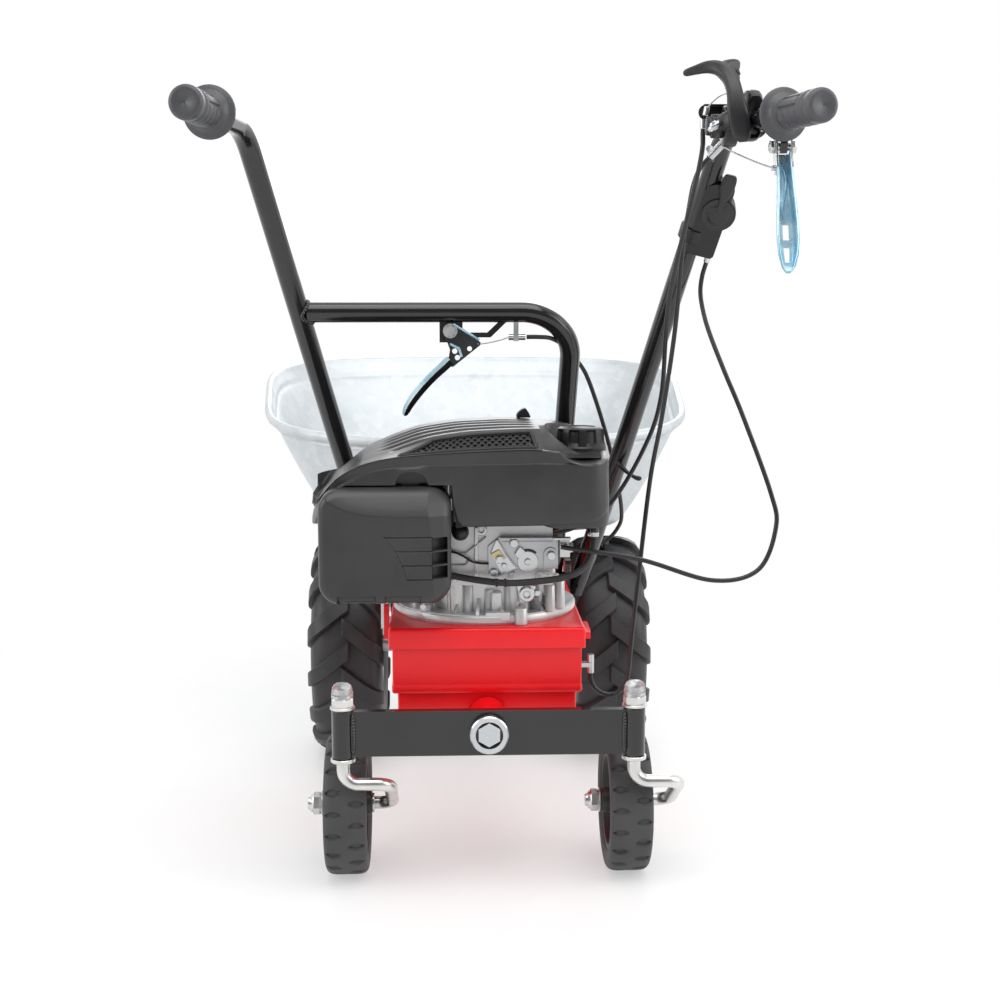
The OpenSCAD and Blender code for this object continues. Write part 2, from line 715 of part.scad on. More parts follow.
// Outlines of the shroud: from behind, from the side and from above, w inside its faces
function shroud_rear(w) = concat([[62 - w, 119], [62 - w, shroud_top - 7 - w], [20, shroud_top - w]],
    [for (a = [90 : 10 : 180]) [-58 + (147 - w) * cos(a), 119 + (shroud_top - 119 - w) * sin(a)]]);
function shroud_side(w) = [[-152 + w, 119], [-152 + w, shroud_top - 36 - w / 2],
    [-112 + w / 2, shroud_top - 7 - w], [-20, shroud_top - w], [60, shroud_top - 6 - w],
    [100, shroud_top - 28 - w], [120 - w, shroud_top - 70], [122 - w, 119]];
function shroud_plan(w) = concat([[62 - w, -152 + w], [62 - w, 70 - w], [40 - w, 100 - w]],
    [for (a = [70 : 10 : 180]) [-84 + (121 - w) * cos(a), (122 - w) * sin(a)]],
    [[-205 + w, -70], [-196 + w, -120 + w], [-170, -152 + w]]);

module shroud_form(w, low) {
    translate([0, crank_y, plate_z]) intersection() {
        translate([0, 300, 0]) rotate([90, 0, 0]) linear_extrude(600) polygon(shroud_rear(w));
        translate([-300, 0, 0]) rotate([90, 0, 90]) linear_extrude(600) polygon(shroud_side(w));
        translate([0, 0, low]) linear_extrude(300) polygon(shroud_plan(w));
    }
}

// Slope of the screen: its foot and its angle
screen_tilt = atan2(29, 40);

module screen_frame() {
    translate([0, crank_y - 152, plate_z + shroud_top - 36]) rotate([screen_tilt, 0, 0]) children();
}

function screen_outline(o) = [[-104 + 2.4 * o, 5 + o], [56 - o, 5 + o], [56 - o, 45 - o], [-62 + o, 45 - o]];

// Moulded blower housing, hollow, with the window of the screen
module blower_housing() {
    color(plastic()) placed() difference() {
        shroud_form(0, 119);
        shroud_form(3.5, 100);
        screen_frame() translate([0, 0, -20]) linear_extrude(30) polygon(screen_outline(4));
        screen_frame() translate([0, 0, -2.5]) linear_extrude(30) polygon(screen_outline(-0.3));
        block([air_x - air_w / 2 - 2, air_y - 100, plate_z],
            [air_x + air_w / 2 + 2, air_y + 4, air_z + air_h + 2]);
        translate([42, crank_y + 10, plate_z + shroud_top - 2.2]) rotate([pull_tilt, 0, 0])
            cylinder(r = 3.2, h = 60, center = true);
    }
}

// Staggered hole plate in the slope of the housing
module starter_screen() {
    pitch = 8;
    color(black()) placed() screen_frame() translate([0, 0, -2.5 + seat]) difference() {
        linear_extrude(2.2) polygon(screen_outline(0));
        for (j = [0 : screen_rows - 1]) for (i = [0 : 17]) {
            x = 50 - pitch * (i + (j % 2) / 2);
            y = 11 + j * 7;
            if (x > -88 + 1.05 * (y - 5)) translate([x, y, -1]) cylinder(r = 2.4, h = 5, $fn = 16);
        }
    }
}

// Moulded fuel tank at the right of the engine
module fuel_tank() {
    h = 199;
    w = 78;
    x = 62.5 + w / 2;
    color(plastic()) placed() translate([0, crank_y, plate_z]) difference() {
        union() {
            translate([x, -62, 119]) linear_extrude(h - 119) polygon(rounded(w, 178, 26));
            translate([fill_x, -60, h - 1]) cylinder(r = cap_d / 2 - 6, h = 9);
            translate([128, -85, 113]) cylinder(r = 5, h = 8);
        }
        translate([x, -62, 123]) linear_extrude(h - 127) polygon(rounded(w - 8, 170, 22));
        translate([fill_x, -60, 140]) cylinder(r = cap_d / 2 - 10, h = 100);
    }
}

// Lobed fuel cap
module fuel_cap() {
    color(plastic()) placed() translate([fill_x, crank_y - 60, plate_z + 199 + run]) difference() {
        union() {
            cylinder(r = cap_d / 2 - 2.5, h = 26);
            translate([0, 0, 26]) cylinder(r1 = cap_d / 2 - 2.5, r2 = cap_d / 2 - 7, h = 3);
            for (a = [0 : 30 : 330]) rotate([0, 0, a]) {
                translate([cap_d / 2 - 4, 0, 0]) cylinder(r = 4, h = 25);
            }
        }
        translate([0, 0, -1]) cylinder(r = cap_d / 2 - 6 + run, h = 9 + run);
    }
}

// Working frame of the air cleaner, with Z backwards from its plate
module air_frame(d) {
    translate([air_x, air_y - d, air_z + air_h / 2]) rotate([90, 0, 0]) children();
}

// Places children along the hinge line of the air cleaner, in the frame of its back plate
module air_hinge(x) {
    translate([x, -air_h / 2 - air_drop, 5]) rotate([0, 90, 0]) children();
}

// Knuckle of that hinge with a web up to its own side, -1 for the cover
module air_knuckle(x, l, side) {
    air_hinge(x) cylinder(r = air_pin + 2, h = l);
    translate([x, -air_h / 2 - air_drop, side < 0 ? 5 + seat : 0.5]) cube([l, air_drop + 2, 4.3]);
}

// Back plate of the air cleaner with its primer bulb
module air_cleaner_base() {
    color(plastic()) placed() air_frame(0) difference() {
        union() {
            linear_extrude(5) polygon(rounded(air_w, air_h, 24));
            for (x = [-31, 17]) air_knuckle(x, 12, 0);
            air_hinge(-52) cylinder(r = air_pin, h = 92);
            translate([air_w / 2 - 6, 7, 0]) cube([24, 22, 5]);
            translate([air_w / 2 + 9, 18, 4]) cylinder(r = 6.5, h = 12);
            translate([air_w / 2 + 9, 18, 16]) cylinder(r1 = 6.5, r2 = 4, h = 4);
        }
        translate([12, -6, -1]) cylinder(r = 10, h = 10);
    }
}

// Pleated filter block behind the cover
module air_filter() {
    color([0.75, 0.70, 0.60]) placed() air_frame(5 + seat)
        linear_extrude(24) polygon(rounded(air_w - 34, air_h - 34, 10));
}

// Dished air cleaner cover with latch tabs, louvres and hinge tabs
module air_cleaner_cover() {
    d = air_deep;
    color(plastic()) placed() air_frame(5 + seat) difference() {
        union() {
            linear_extrude(d - 24) polygon(rounded(air_w, air_h, 24));
            translate([0, 0, d - 24]) linear_extrude(14) polygon(rounded(air_w - 4, air_h - 4, 23));
            translate([0, 0, d - 10]) linear_extrude(7) polygon(rounded(air_w - 14, air_h - 14, 20));
            translate([0, 0, d - 3]) linear_extrude(3) polygon(rounded(air_w - 30, air_h - 30, 16));
            for (x = [-38, 28]) translate([x - 10, air_h / 2 - 1, 4]) cube([20, 6, 8]);
            translate([0, 0, -5 - seat]) for (x = [-52, -18, 30]) air_knuckle(x, 10, -1);
        }
        translate([0, 0, -5 - seat]) air_hinge(-60) cylinder(r = air_pin + pin_run, h = 110);
        translate([0, 0, -1]) linear_extrude(d - 5) polygon(rounded(air_w - 22, air_h - 22, 18));
        for (i = [0 : 2]) translate([air_w / 2 - 16, -44 + 16 * i, d - 16]) cube([12, 13, 30]);
    }
}

// Carburettor between the cylinder and the air cleaner
module carburettor() {
    color(alloy()) placed() {
        bar_y(air_x + 12, air_y + seat, crank_y - 44 - seat, air_z + air_h / 2 - 6, 15);
        translate([air_x + 12, (air_y + crank_y - 44) / 2, air_z + 26]) cylinder(r = 20, h = 36);
    }
}

// Zinc governor plate with its slots and screws, behind the crankcase
module control_plate() {
    y = crank_y - 92;
    z = plate_z + 60;
    color(zinc()) placed() {
        translate([0, y - seat, 0]) rotate([90, 0, 0]) linear_extrude(2.5) difference() {
            polygon([[4, z + 6], [4, z + 36], [14, z + 46], [44, z + 50], [74, z + 46], [74, z + 18],
                [56, z + 8]]);
            translate([30, z + 28]) circle(r = 5);
            translate([52, z + 32]) square([12, 5]);
        }
        block([58, y - 30, z + 40], [76, y - 2.5 - seat, z + 42.5]);
        for (p = [[14, 16], [62, 24], [22, 40]]) bar_y(p.x, y - 6, y - 2.5 - seat, z + p.y, 4.5);
    }
}

// Fuel hose from the tank outlet to the carburettor
module fuel_hose() {
    color(black()) placed() swept(hose_way, 4);
}

// Silencer box on the front of the cylinder
module muffler() {
    color([0.45, 0.42, 0.40]) placed() translate([0, crank_y, plate_z]) {
        difference() {
            translate([-118, 82, 36]) linear_extrude(74) polygon(rounded(84, 60, 14));
            for (i = [0 : 3]) bar_y(-142 + 16 * i, 109, 115, 70, 3);
        }
        bar_y(-118, 44 + seat, 54, 78, 14);
    }
}

module drive_cable() {
    color(black()) placed() swept(drive_way, cable_d / 2);
}

module stop_cable() {
    color(black()) placed() swept(stop_way, cable_d / 2);
}

module throttle_cable() {
    color(black()) placed() swept(throttle_way, cable_d / 2);
}

module reverse_cable() {
    color(black()) placed() swept(reverse_way, cable_d / 2);
}

// Two flat arms on the plate that carry the tub hinge
module tub_arms() {
    color(black()) placed() for (s = [-1, 1]) difference() {
        union() {
            block([s * arm_x - 12 + run, -130, plate_z], [s * arm_x + 12 - run, hinge_y, arm_top]);
            bar_x(s * arm_x - 12 + run, s * arm_x + 12 - run, hinge_y, hinge_z, 13);
        }
        bar_x(s * arm_x - 20, s * arm_x + 20, hinge_y, hinge_z, hinge_d / 2 + pin_run);
        for (y = [-90, 30]) translate([s * arm_x, y, plate_z - 1]) cylinder(r = 4 + pin_run, h = 40);
    }
}

// Hinge pins of the tub
module tub_pins() {
    color(zinc()) placed() for (s = [-1, 1]) {
        bar_x(s * arm_x - 24, s * arm_x + 24, hinge_y, hinge_z, hinge_d / 2);
    }
}

// Rubber rests below the rails
module tub_buffers() {
    color(rubber()) placed() for (s = [-1, 1]) {
        translate([s * arm_x, -40, arm_top]) cylinder(r = 11, h = rail_z - arm_top - seat);
    }
}

// Rails and hinge cheeks under the tub
module tub_rails() {
    color(black()) placed() for (s = [-1, 1]) difference() {
        union() {
            block([s * arm_x - 12, -70, rail_z], [s * arm_x + 12, 300, tub_z]);
            for (t = [-1, 1]) translate([s * arm_x + t * 15, hinge_y, 0]) rotate([90, 0, 90])
                linear_extrude(6, center = true) polygon([[-14, hinge_z - 8], [-8, hinge_z - 14],
                [8, hinge_z - 14], [14, hinge_z - 8], [30, tub_z], [-30, tub_z]]);
        }
        bar_x(s * arm_x - 40, s * arm_x + 40, hinge_y, hinge_z, hinge_d / 2 + pin_run);
    }
}

// Drive axle with shoulders and end screws
module drive_axle() {
    h = track / 2 + 24;
    color(zinc()) placed() {
        bar_x(-h, h, 0, axle_z, axle_d / 2);
        for (s = [-1, 1]) translate([s * h, 0, axle_z]) rotate([0, s * 90, 0]) {
            cylinder(r = axle_d / 2 + 6, h = 3);
            hexagon(19, 11);
        }
    }
}

// Working frame of a drive wheel, with Z outwards along the axle
module wheel_frame(s) {
    translate([s * track / 2, 0, axle_z]) rotate([0, s * 90, 0]) children();
}

// Both pressed rims with their welded hubs
module rims() {
    r = rim_d / 2;
    w = tyre_w / 2 - 9;
    hole = axle_d / 2 + pin_run;
    hub = axle_d / 2 + 9;
    shape = [[r - 4, -w], [r + 12, -w - 2], [r + 12, -w + 1], [r, -w + 4], [r, w - 4], [r + 12, w - 1],
        [r + 12, w + 2], [r - 4, w], [r - 4, 4], [42, 0], [hub, 0], [hub, 23], [hole, 23], [hole, -w],
        [hub, -w], [hub, -4], [42, -4], [r - 4, -1]];
    color([0.78, 0.78, 0.78]) placed() for (s = [-1, 1]) wheel_frame(s) difference() {
        rotate_extrude() polygon(shape);
        for (a = [45 : 90 : 315]) rotate([0, 0, a]) translate([33, 0, -20]) cylinder(r = 4 + pin_run, h = 40);
    }
}

// Bolts of the rim discs
module wheel_bolts() {
    color(zinc()) placed() for (s = [-1, 1]) wheel_frame(s) {
        for (a = [45 : 90 : 315]) rotate([0, 0, a]) translate([33, 0, seat]) screw(8, 12);
    }
}

// One lugged tyre: hollow casing and two staggered rows of slanted lugs
module tyre(s) {
    r = tyre_d / 2;
    c = r - lug_h;
    w = tyre_w / 2;
    b = rim_d / 2 + seat;
    e = w - 9;
    m = (b + c) / 2;
    casing = [[b, -e + 5], [b + 12, -e + 2], [b + 14, -e - 2], [m, -w], [c - 14, -w + 3], [c - 3, -w + 14],
        [c, -w + 30], [c, w - 30], [c - 3, w - 14], [c - 14, w - 3], [m, w], [b + 14, e + 2], [b + 12, e - 2],
        [b, e - 5], [b, e - 12], [m, w - 8], [c - 12, w - 16], [c - 12, -w + 16], [m, -w + 8], [b, -e + 12]];
    crown = [[c - 8, -w + 2], [r - 8, -w + 3], [r - 2, -w + 16], [r, -10], [r, 10], [r - 2, w - 16],
        [r - 8, w - 3], [c - 8, w - 2]];
    slant = -21;
    placed() translate([s * track / 2, 0, axle_z]) rotate([0, 90, 0]) {
        rotate_extrude($fn = 96) polygon(casing);
        intersection() {
            rotate_extrude($fn = 96) polygon(crown);
            union() for (i = [0 : lug_n - 1]) for (h = [-1, 1])
                rotate([0, 0, 360 * (i + (h > 0 ? 0.5 : 0)) / lug_n]) rotate([0, 90, 0])
                    translate([0, 0, c - 10]) linear_extrude(lug_h + 20) polygon([[h * 4, slant - 8],
                    [h * 4, slant + 8], [-h * w, 8 - slant], [-h * w, -8 - slant]]);
        }
    }
}

module left_tyre() {
    color(rubber()) tyre(-1);
}

module right_tyre() {
    color(rubber()) tyre(1);
}

// Flat beam with a swivel sleeve welded to each end
module rocker_beam() {
    h = sleeve_span / 2;
    color(black()) placed() difference() {
        union() {
            block([-h, -beam_back - beam_t / 2, pivot_z - beam_h / 2],
                [h, -beam_back + beam_t / 2, pivot_z + beam_h / 2]);
            for (s = [-1, 1]) {
                translate([s * h, -beam_back, pivot_z - beam_h / 2 - 2])
                    cylinder(d = sleeve_d, h = beam_h + 4);
            }
        }
        for (s = [-1, 1]) translate([s * h, -beam_back, 0]) cylinder(d = rod_d + 2 * pin_run, h = 400);
        bar_y(0, -beam_back - 20, -beam_back + 20, pivot_z, 22);
    }
}

// Zinc bush pressed into the beam, with a recess for the bolt head
module pivot_bush() {
    y = -beam_back;
    color(zinc()) placed() difference() {
        bar_y(0, y - beam_t / 2 - 10, y + beam_t / 2 + 5, pivot_z, 22 - seat / 3);
        bar_y(0, y - 40, y + 40, pivot_z, 12 + pin_run);
        bar_y(0, y - 40, y - 2 + run, pivot_z, 15 + run);
    }
}

// Bent caster rod with its two collars
module crank(s) {
    x = s * sleeve_span / 2;
    z = caster_d / 2;
    foot = pivot_z - beam_h / 2 - 2 - run;
    end = caster_w / 2 + 22;
    color(zinc()) placed() translate([x, -beam_back, 0]) {
        bent_bar([[0, 0, stem_top - 2], [0, 0, run_z], [crank_x, 0, run_z], [crank_x, trail, z],
            [-end, trail, z]], 17, rod_d / 2);
        translate([0, 0, foot - 4]) cylinder(d = sleeve_d + 3, h = 4);
        bar_x(caster_w / 2 + 3 + run, caster_w / 2 + 6, trail, z, rod_d / 2 + 4);
    }
}

module left_crank() {
    crank(-1);
}

module right_crank() {
    crank(1);
}

// Domed top nut and axle nut of one caster, each on its washer
module caster_nuts(s) {
    top = pivot_z + beam_h / 2 + 2 + run;
    x = -caster_w / 2 - 4 - run;
    color(zinc()) placed() translate([s * sleeve_span / 2, -beam_back, 0]) {
        difference() {
            union() {
                translate([0, 0, top]) cylinder(d = sleeve_d + 3, h = 3);
                translate([0, 0, top + 3]) hexagon(rod_d + 8, 13);
                translate([0, 0, top + 16]) cylinder(d = rod_d + 7, h = 8);
                translate([0, 0, top + 24]) cylinder(d1 = rod_d + 7, d2 = rod_d - 6, h = 7);
            }
            translate([0, 0, top - 1]) cylinder(d = rod_d + 2 * pin_run, h = stem_top - top);
        }
        difference() {
            union() {
                bar_x(x - 3, x, trail, caster_d / 2, rod_d / 2 + 7);
                translate([x - 3, trail, caster_d / 2]) rotate([0, -90, 0]) hexagon(rod_d + 8, 12);
            }
            bar_x(x - 30, x + 10, trail, caster_d / 2, rod_d / 2 + pin_run);
        }
    }
}

module left_caster_nuts() {
    caster_nuts(-1);
}

module right_caster_nuts() {
    caster_nuts(1);
}

// Working frame of a caster wheel, with Z along its axle
module caster_frame(s) {
    translate([s * sleeve_span / 2, trail - beam_back, caster_d / 2]) rotate([0, 90, 0]) children();
}

// Solid caster tyre with short side nicks
module caster_tyre(s) {
    r = caster_d / 2;
    w = caster_w / 2;
    n = 20;
    color(rubber()) placed() caster_frame(s) difference() {
        rotate_extrude($fn = 96) polygon([[r - 24, -w + 2], [r - 14, -w], [r - 5, -w + 1.5],
            [r - 1.5, -w + 5], [r, -w + 12], [r, w - 12], [r - 1.5, w - 5], [r - 5, w - 1.5], [r - 14, w], [r - 24, w - 2]]);
        for (i = [0 : n - 1]) for (h = [-1, 1]) rotate([0, 0, 360 * (i + (h > 0 ? 0.5 : 0)) / n])
            block([r - 2.5, -1, h > 0 ? w - 13 : -w - 1], [r + 3, 1, h > 0 ? w + 1 : 13 - w]);
    }
}

module left_caster_tyre() {
    caster_tyre(-1);
}

module right_caster_tyre() {
    caster_tyre(1);
}

// Moulded caster hub with a bearing tube and a thin web
module caster_hub(s) {
    r = caster_d / 2 - 24 - seat;
    w = caster_w / 2;
    q = rod_d / 2;
    color(plastic()) placed() caster_frame(s) rotate_extrude()
        polygon([[q + pin_run, -w - 4], [q + 7, -w - 4], [q + 9, -4], [r - 8, -4], [r - 6, -w + 4],
            [r, -w + 3], [r, w - 3], [r - 6, w - 4], [r - 8, 4], [q + 9, 4], [q + 7, w + 3], [q + pin_run, w + 3]]);
}

module left_caster_hub() {
    caster_hub(-1);
}

module right_caster_hub() {
    caster_hub(1);
}

// Tub outline at a share f of its height, moved inwards by w, at step k of m
function corner_wave(a, p) = sign(a) * pow(abs(a), p);
function tub_point(f, w, dz, k, m) = let (a = 360 * k / m, p = 0.42, e = pow(f, 0.8),
    y0 = -105 - (rear_rim - 105) * e, y1 = 330 + (tub_front - 330) * e,
    v = corner_wave(sin(a), p), u = corner_wave(cos(a), p), bulge = 1 - u * u * e * (v > 0 ? 0.1 : 0.2),
    y = (y0 + y1) / 2 + ((y1 - y0) / 2 - w) * v * bulge,
    half = 205 + 20 * (y + 100) / 430 + e * (tub_x - 252 + 18 * (y - 200) / 330) - w,
    rim = 480 + 80 * pow(max(0, y + rear_rim) / (tub_front + rear_rim), 1.1))
    [half * u, y, tub_z + (rim - tub_z) * f + dz];

// Pressed sheet tub with a rolled rim
module tub() {
    m = 56;
    q = rim_roll / 2;
    t = tub_t;
    rings = [[0, 30, 0], [0, 4, 0], [0.03, 0, 0], [0.25, 0, 0], [0.5, 0, 0], [0.75, 0, 0], [1, 0, -q - 3],
        [1, -q, -q], [1, -q - 2, 0], [1, -q + 2, q - 2], [1, t, q], [1, t, 0], [0.75, t, 0], [0.5, t, 0],
        [0.25, t, 0], [0.03, t + 1, t], [0, 6, t], [0, 30, t]];
    n = len(rings);
    points = [for (g = rings) for (k = [0 : m - 1]) tub_point(g[0], g[1], g[2], k, m)];
    walls = [for (i = [0 : n - 2]) for (k = [0 : m - 1])
        each [[i * m + k, i * m + (k + 1) % m, (i + 1) * m + (k + 1) % m],
        [i * m + k, (i + 1) * m + (k + 1) % m, (i + 1) * m + k]]];
    ends = [[for (k = [0 : m - 1]) m - 1 - k], [for (k = [0 : m - 1]) (n - 1) * m + k]];
    faces = [for (f = concat(walls, ends)) [for (j = [len(f) - 1 : -1 : 0]) f[j]]];
    color(zinc()) placed() polyhedron(points = points, faces = faces, convexity = 10);
}

// Starter handle on the top of the housing, with the end of its rope
module starter_grip() {
    z = plate_z + shroud_top - 2.2;
    color(black()) placed() translate([42, crank_y + 10, z]) rotate([pull_tilt, 0, 0]) {
        translate([0, 0, -8]) cylinder(r = 2, h = 16);
        translate([0, 0, 5]) cylinder(r1 = 7.5, r2 = 6, h = 6);
        translate([-15, 0, 14]) rotate([0, 90, 0]) cylinder(r = 6, h = 30);
    }
}

// Red clutch arm on its cross shaft in the side of the box, turned by a
module clutch_arm(s, a) {
    x = s * (plate_w / 2 + run);
    color(red()) placed() translate([x, arm_y, arm_z]) {
        bar_x(min(0, -s * 12), max(0, -s * 12), 0, 0, 6);
        translate([s * 3, 0, 0]) rotate([a, 0, 0]) rotate([90, 0, 90]) linear_extrude(6, center = true)
            polygon([[8, -8], [8, 8], [-22, 6], [-32, 4], [-32, -4], [-22, -6]]);
    }
}

module forward_arm() {
    clutch_arm(1, 0);
}

module reverse_arm() {
    clutch_arm(-1, -90);
}
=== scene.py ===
import bmesh
import bpy
import numpy as np
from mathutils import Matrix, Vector


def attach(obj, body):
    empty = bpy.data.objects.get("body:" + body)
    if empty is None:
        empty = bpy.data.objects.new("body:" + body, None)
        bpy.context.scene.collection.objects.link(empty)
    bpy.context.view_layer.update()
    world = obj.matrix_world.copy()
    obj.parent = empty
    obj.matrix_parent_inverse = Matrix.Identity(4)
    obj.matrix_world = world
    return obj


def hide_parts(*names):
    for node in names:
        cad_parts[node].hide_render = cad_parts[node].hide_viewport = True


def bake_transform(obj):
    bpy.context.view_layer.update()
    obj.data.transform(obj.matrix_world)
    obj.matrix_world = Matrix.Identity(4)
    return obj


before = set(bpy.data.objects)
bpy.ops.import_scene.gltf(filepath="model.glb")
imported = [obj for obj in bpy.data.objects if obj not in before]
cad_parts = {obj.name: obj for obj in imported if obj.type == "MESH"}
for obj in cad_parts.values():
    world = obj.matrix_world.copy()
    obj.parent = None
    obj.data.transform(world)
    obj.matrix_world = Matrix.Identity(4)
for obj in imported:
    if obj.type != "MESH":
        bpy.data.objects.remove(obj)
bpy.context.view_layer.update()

# Gearbox: a folded red tray that carries the engine, a welded sheet box below it and
# a narrower tray with the stub for the rear beam. Mild steel, bent and spot welded,
# then coated in gloss red enamel that pools a little at the folds.
AXLE_Y = 80.3254


def unit(v):
    """Vectors divided by their own lengths."""
    v = np.asarray(v, float)
    return v / np.linalg.norm(v, axis=-1, keepdims=True)


def grid(points, round_u=False, round_v=False, caps=(False, False), keep=None):
    """Quads between the lines of a grid of points [u, v]. A round direction joins its last line to its first,
    a cap closes the first or the last ring of u with one face, and keep says which quads stay."""
    n, m = points.shape[:2]
    index = np.arange(n * m).reshape(n, m)
    first, last = index[:1, ::-1], index[-1:]
    if round_u:
        index = np.concatenate([index, index[:1]])
    if round_v:
        index = np.concatenate([index, index[:, :1]], 1)
    corners = [index[:-1, :-1], index[:-1, 1:], index[1:, 1:], index[1:, :-1]]
    faces = [np.stack(corners, -1).reshape(-1, 4)]
    if keep is not None:
        faces = [faces[0][np.asarray(keep).ravel()]]
    return points.reshape(-1, 3), faces + [f for f, wanted in zip((first, last), caps) if wanted]


def copies(part, moved):
    """One part for each point array in moved, which all share the first part's faces."""
    step = np.arange(len(moved)) * moved.shape[1]
    return moved.reshape(-1, 3), [(f[None] + step[:, None, None]).reshape(-1, f.shape[1]) for f in part[1]]


def piece(name, parts, finish, body="chassis", replaces=None, smooth=35, bevel=0.0, segments=2, wall=0.0):
    """A mesh from parts given in millimetres from the drive axle. Doubles are merged, faces turned outwards, edges
    over the smooth angle kept sharp, and edges rounded by a bevel. A finish is its usual slot and its material."""
    start = np.cumsum([0] + [len(points) for points, faces in parts])
    points = np.concatenate([points for points, faces in parts]) + [0, AXLE_Y, 0]
    faces = [f for (_, part), s in zip(parts, start) for block in part for f in (block + s).tolist()]
    mesh = bpy.data.meshes.new(name)
    mesh.from_pydata((points / 1000).tolist(), [], faces)
    work = bmesh.new()
    work.from_mesh(mesh)
    bmesh.ops.remove_doubles(work, verts=work.verts, dist=2e-6)
    bmesh.ops.dissolve_degenerate(work, edges=work.edges, dist=1e-6)
    bmesh.ops.recalc_face_normals(work, faces=work.faces)
    work.to_mesh(mesh)
    work.free()
    mesh.shade_smooth()
    mesh.set_sharp_from_angle(angle=np.radians(smooth))
    mesh.materials.append(finish[1])
    made = bpy.data.objects.new(name, mesh)
    bpy.context.scene.collection.objects.link(made)
    if wall:
        sheet = made.modifiers.new("wall", "SOLIDIFY")
        sheet.thickness, sheet.offset = wall / 1000, 0
    if bevel:
        edge = made.modifiers.new("edge", "BEVEL")
        edge.width, edge.segments = bevel / 1000, segments
        edge.limit_method, edge.angle_limit = "ANGLE", np.radians(max(smooth, 30))
        edge.harden_normals = edge.use_clamp_overlap = True
    if body:
        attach(made, body)
    if replaces:
        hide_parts(replaces)
    return made


def rounded(half_x, half_y, corner, steps=7):
    """Outline of a rectangle with round corners, anticlockwise, as quarter circles round four centres."""
    quarter = np.arange(4)[:, None] * np.pi / 2 + np.linspace(0, np.pi / 2, steps)
    middle = np.array([[1, 1], [-1, 1], [-1, -1], [1, -1]]) * [half_x - corner, half_y - corner]
    ring = np.stack([np.cos(quarter), np.sin(quarter)], -1) * corner
    return (middle[:, None] + ring).reshape(-1, 2)


def framed(points, origin, x=(1, 0, 0), y=(0, 1, 0)):
    """Points of a flat or solid figure set in a frame: origin + a x + b y + c (x cross y)."""
    x, y = unit(x), unit(y)
    axes = np.stack([x, y, np.cross(x, y)])
    points = np.asarray(points, float)
    return np.asarray(origin, float) + points @ axes[: points.shape[-1]]


def raised(outline, high):
    """A flat outline at one height, or at a height for each point."""
    return np.column_stack([outline, np.broadcast_to(np.asarray(high, float), len(outline))])


def stacked(half_x, half_y, corner, steps, origin=(0, 0, 0), x=(1, 0, 0), y=(0, 1, 0)):
    """Rounded rectangles stacked along an axis: each step is (how far drawn in, how high)."""
    rings = [raised(rounded(half_x - d, half_y - d, max(corner - d, 0.6)), h) for d, h in steps]
    return grid(framed(np.stack(rings), origin, x, y), round_v=True, caps=(True, True))


def fold(radius, high, steps=5):
    """Steps of a quarter round edge: the outline is drawn in by r (1 - cos) while it climbs by r sin."""
    a = np.linspace(0, np.pi / 2, steps)
    return list(zip(radius * (1 - np.cos(a)), high - radius + radius * np.sin(a)))


def plate(outline, low, high, origin=(0, 0, 0), x=(1, 0, 0), y=(0, 1, 0)):
    """A closed outline pushed from low to high along its frame's third axis."""
    rings = np.stack([raised(outline, low), raised(outline, high)])
    return grid(framed(rings, origin, x, y), round_v=True, caps=(True, True))


def turned(profile, origin, axis, n=48):
    """A profile of (distance along an axis, radius) spun round that axis."""
    axis = unit(axis)
    side = unit(np.cross(axis, (0.31, 0.53, 0.79)))
    a = np.linspace(0, 2 * np.pi, n, endpoint=False)[:, None]
    ring = np.cos(a) * side + np.sin(a) * np.cross(axis, side)
    profile = np.asarray(profile, float)
    points = np.asarray(origin, float) + profile[:, None, :1] * axis + profile[:, None, 1:] * ring
    return grid(points, round_v=True, caps=(profile[0, 1] > 0, profile[-1, 1] > 0))


def feed(made, inputs):
    """Sets the inputs of a shader node: plain values, or sockets of other nodes, which are linked in."""
    for name, value in inputs.items():
        if isinstance(value, bpy.types.NodeSocket):
            made.id_data.links.new(value, made.inputs[name])
        else:
            made.inputs[name].default_value = value
    return made


def node(tree, kind, inputs):
    """A new shader node of one kind with its inputs set."""
    return feed(tree.nodes.new("ShaderNode" + kind), inputs)


def coated(slot, name, tints, rough, grain=(900, 0.04), drift=14, metal=0.0, coat=0.0):
    """A Principled finish on Object coordinates. A slow noise drifts the colour between two tints and the roughness
    between two values, and a fine noise (scale, height) lifts the surface."""
    made = bpy.data.materials.new(name)
    made.use_nodes = True
    tree = made.node_tree
    place = node(tree, "TexCoord", {}).outputs["Object"]
    slow = node(tree, "TexNoise", {"Vector": place, "Scale": drift, "Detail": 5}).outputs["Fac"]
    colours = node(tree, "ValToRGB", {"Fac": slow})
    for stop, position, tint in zip(colours.color_ramp.elements, (0.36, 0.64), tints):
        stop.position, stop.color = position, (*tint, 1)
    spread = node(tree, "MapRange", {"Value": slow, "From Min": 0.3, "From Max": 0.7, "To Min": rough[0],
                                     "To Max": rough[1]})
    fine = node(tree, "TexNoise", {"Vector": place, "Scale": grain[0], "Detail": 3})
    lift = node(tree, "Bump", {"Height": fine.outputs["Fac"], "Strength": 0.6, "Distance": grain[1] / 1000})
    feed(tree.nodes["Principled BSDF"], {
        "Base Color": colours.outputs["Color"], "Roughness": spread.outputs["Result"], "Normal": lift.outputs["Normal"],
        "Metallic": metal, "Coat Weight": coat, "Coat Roughness": 0.08})
    return slot, made


def dress(finish, *nodes):
    """Gives a finish to CAD solids that are kept as they are."""
    for name in nodes:
        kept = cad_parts[name].data
        kept.materials.clear()
        kept.materials.append(finish[1])


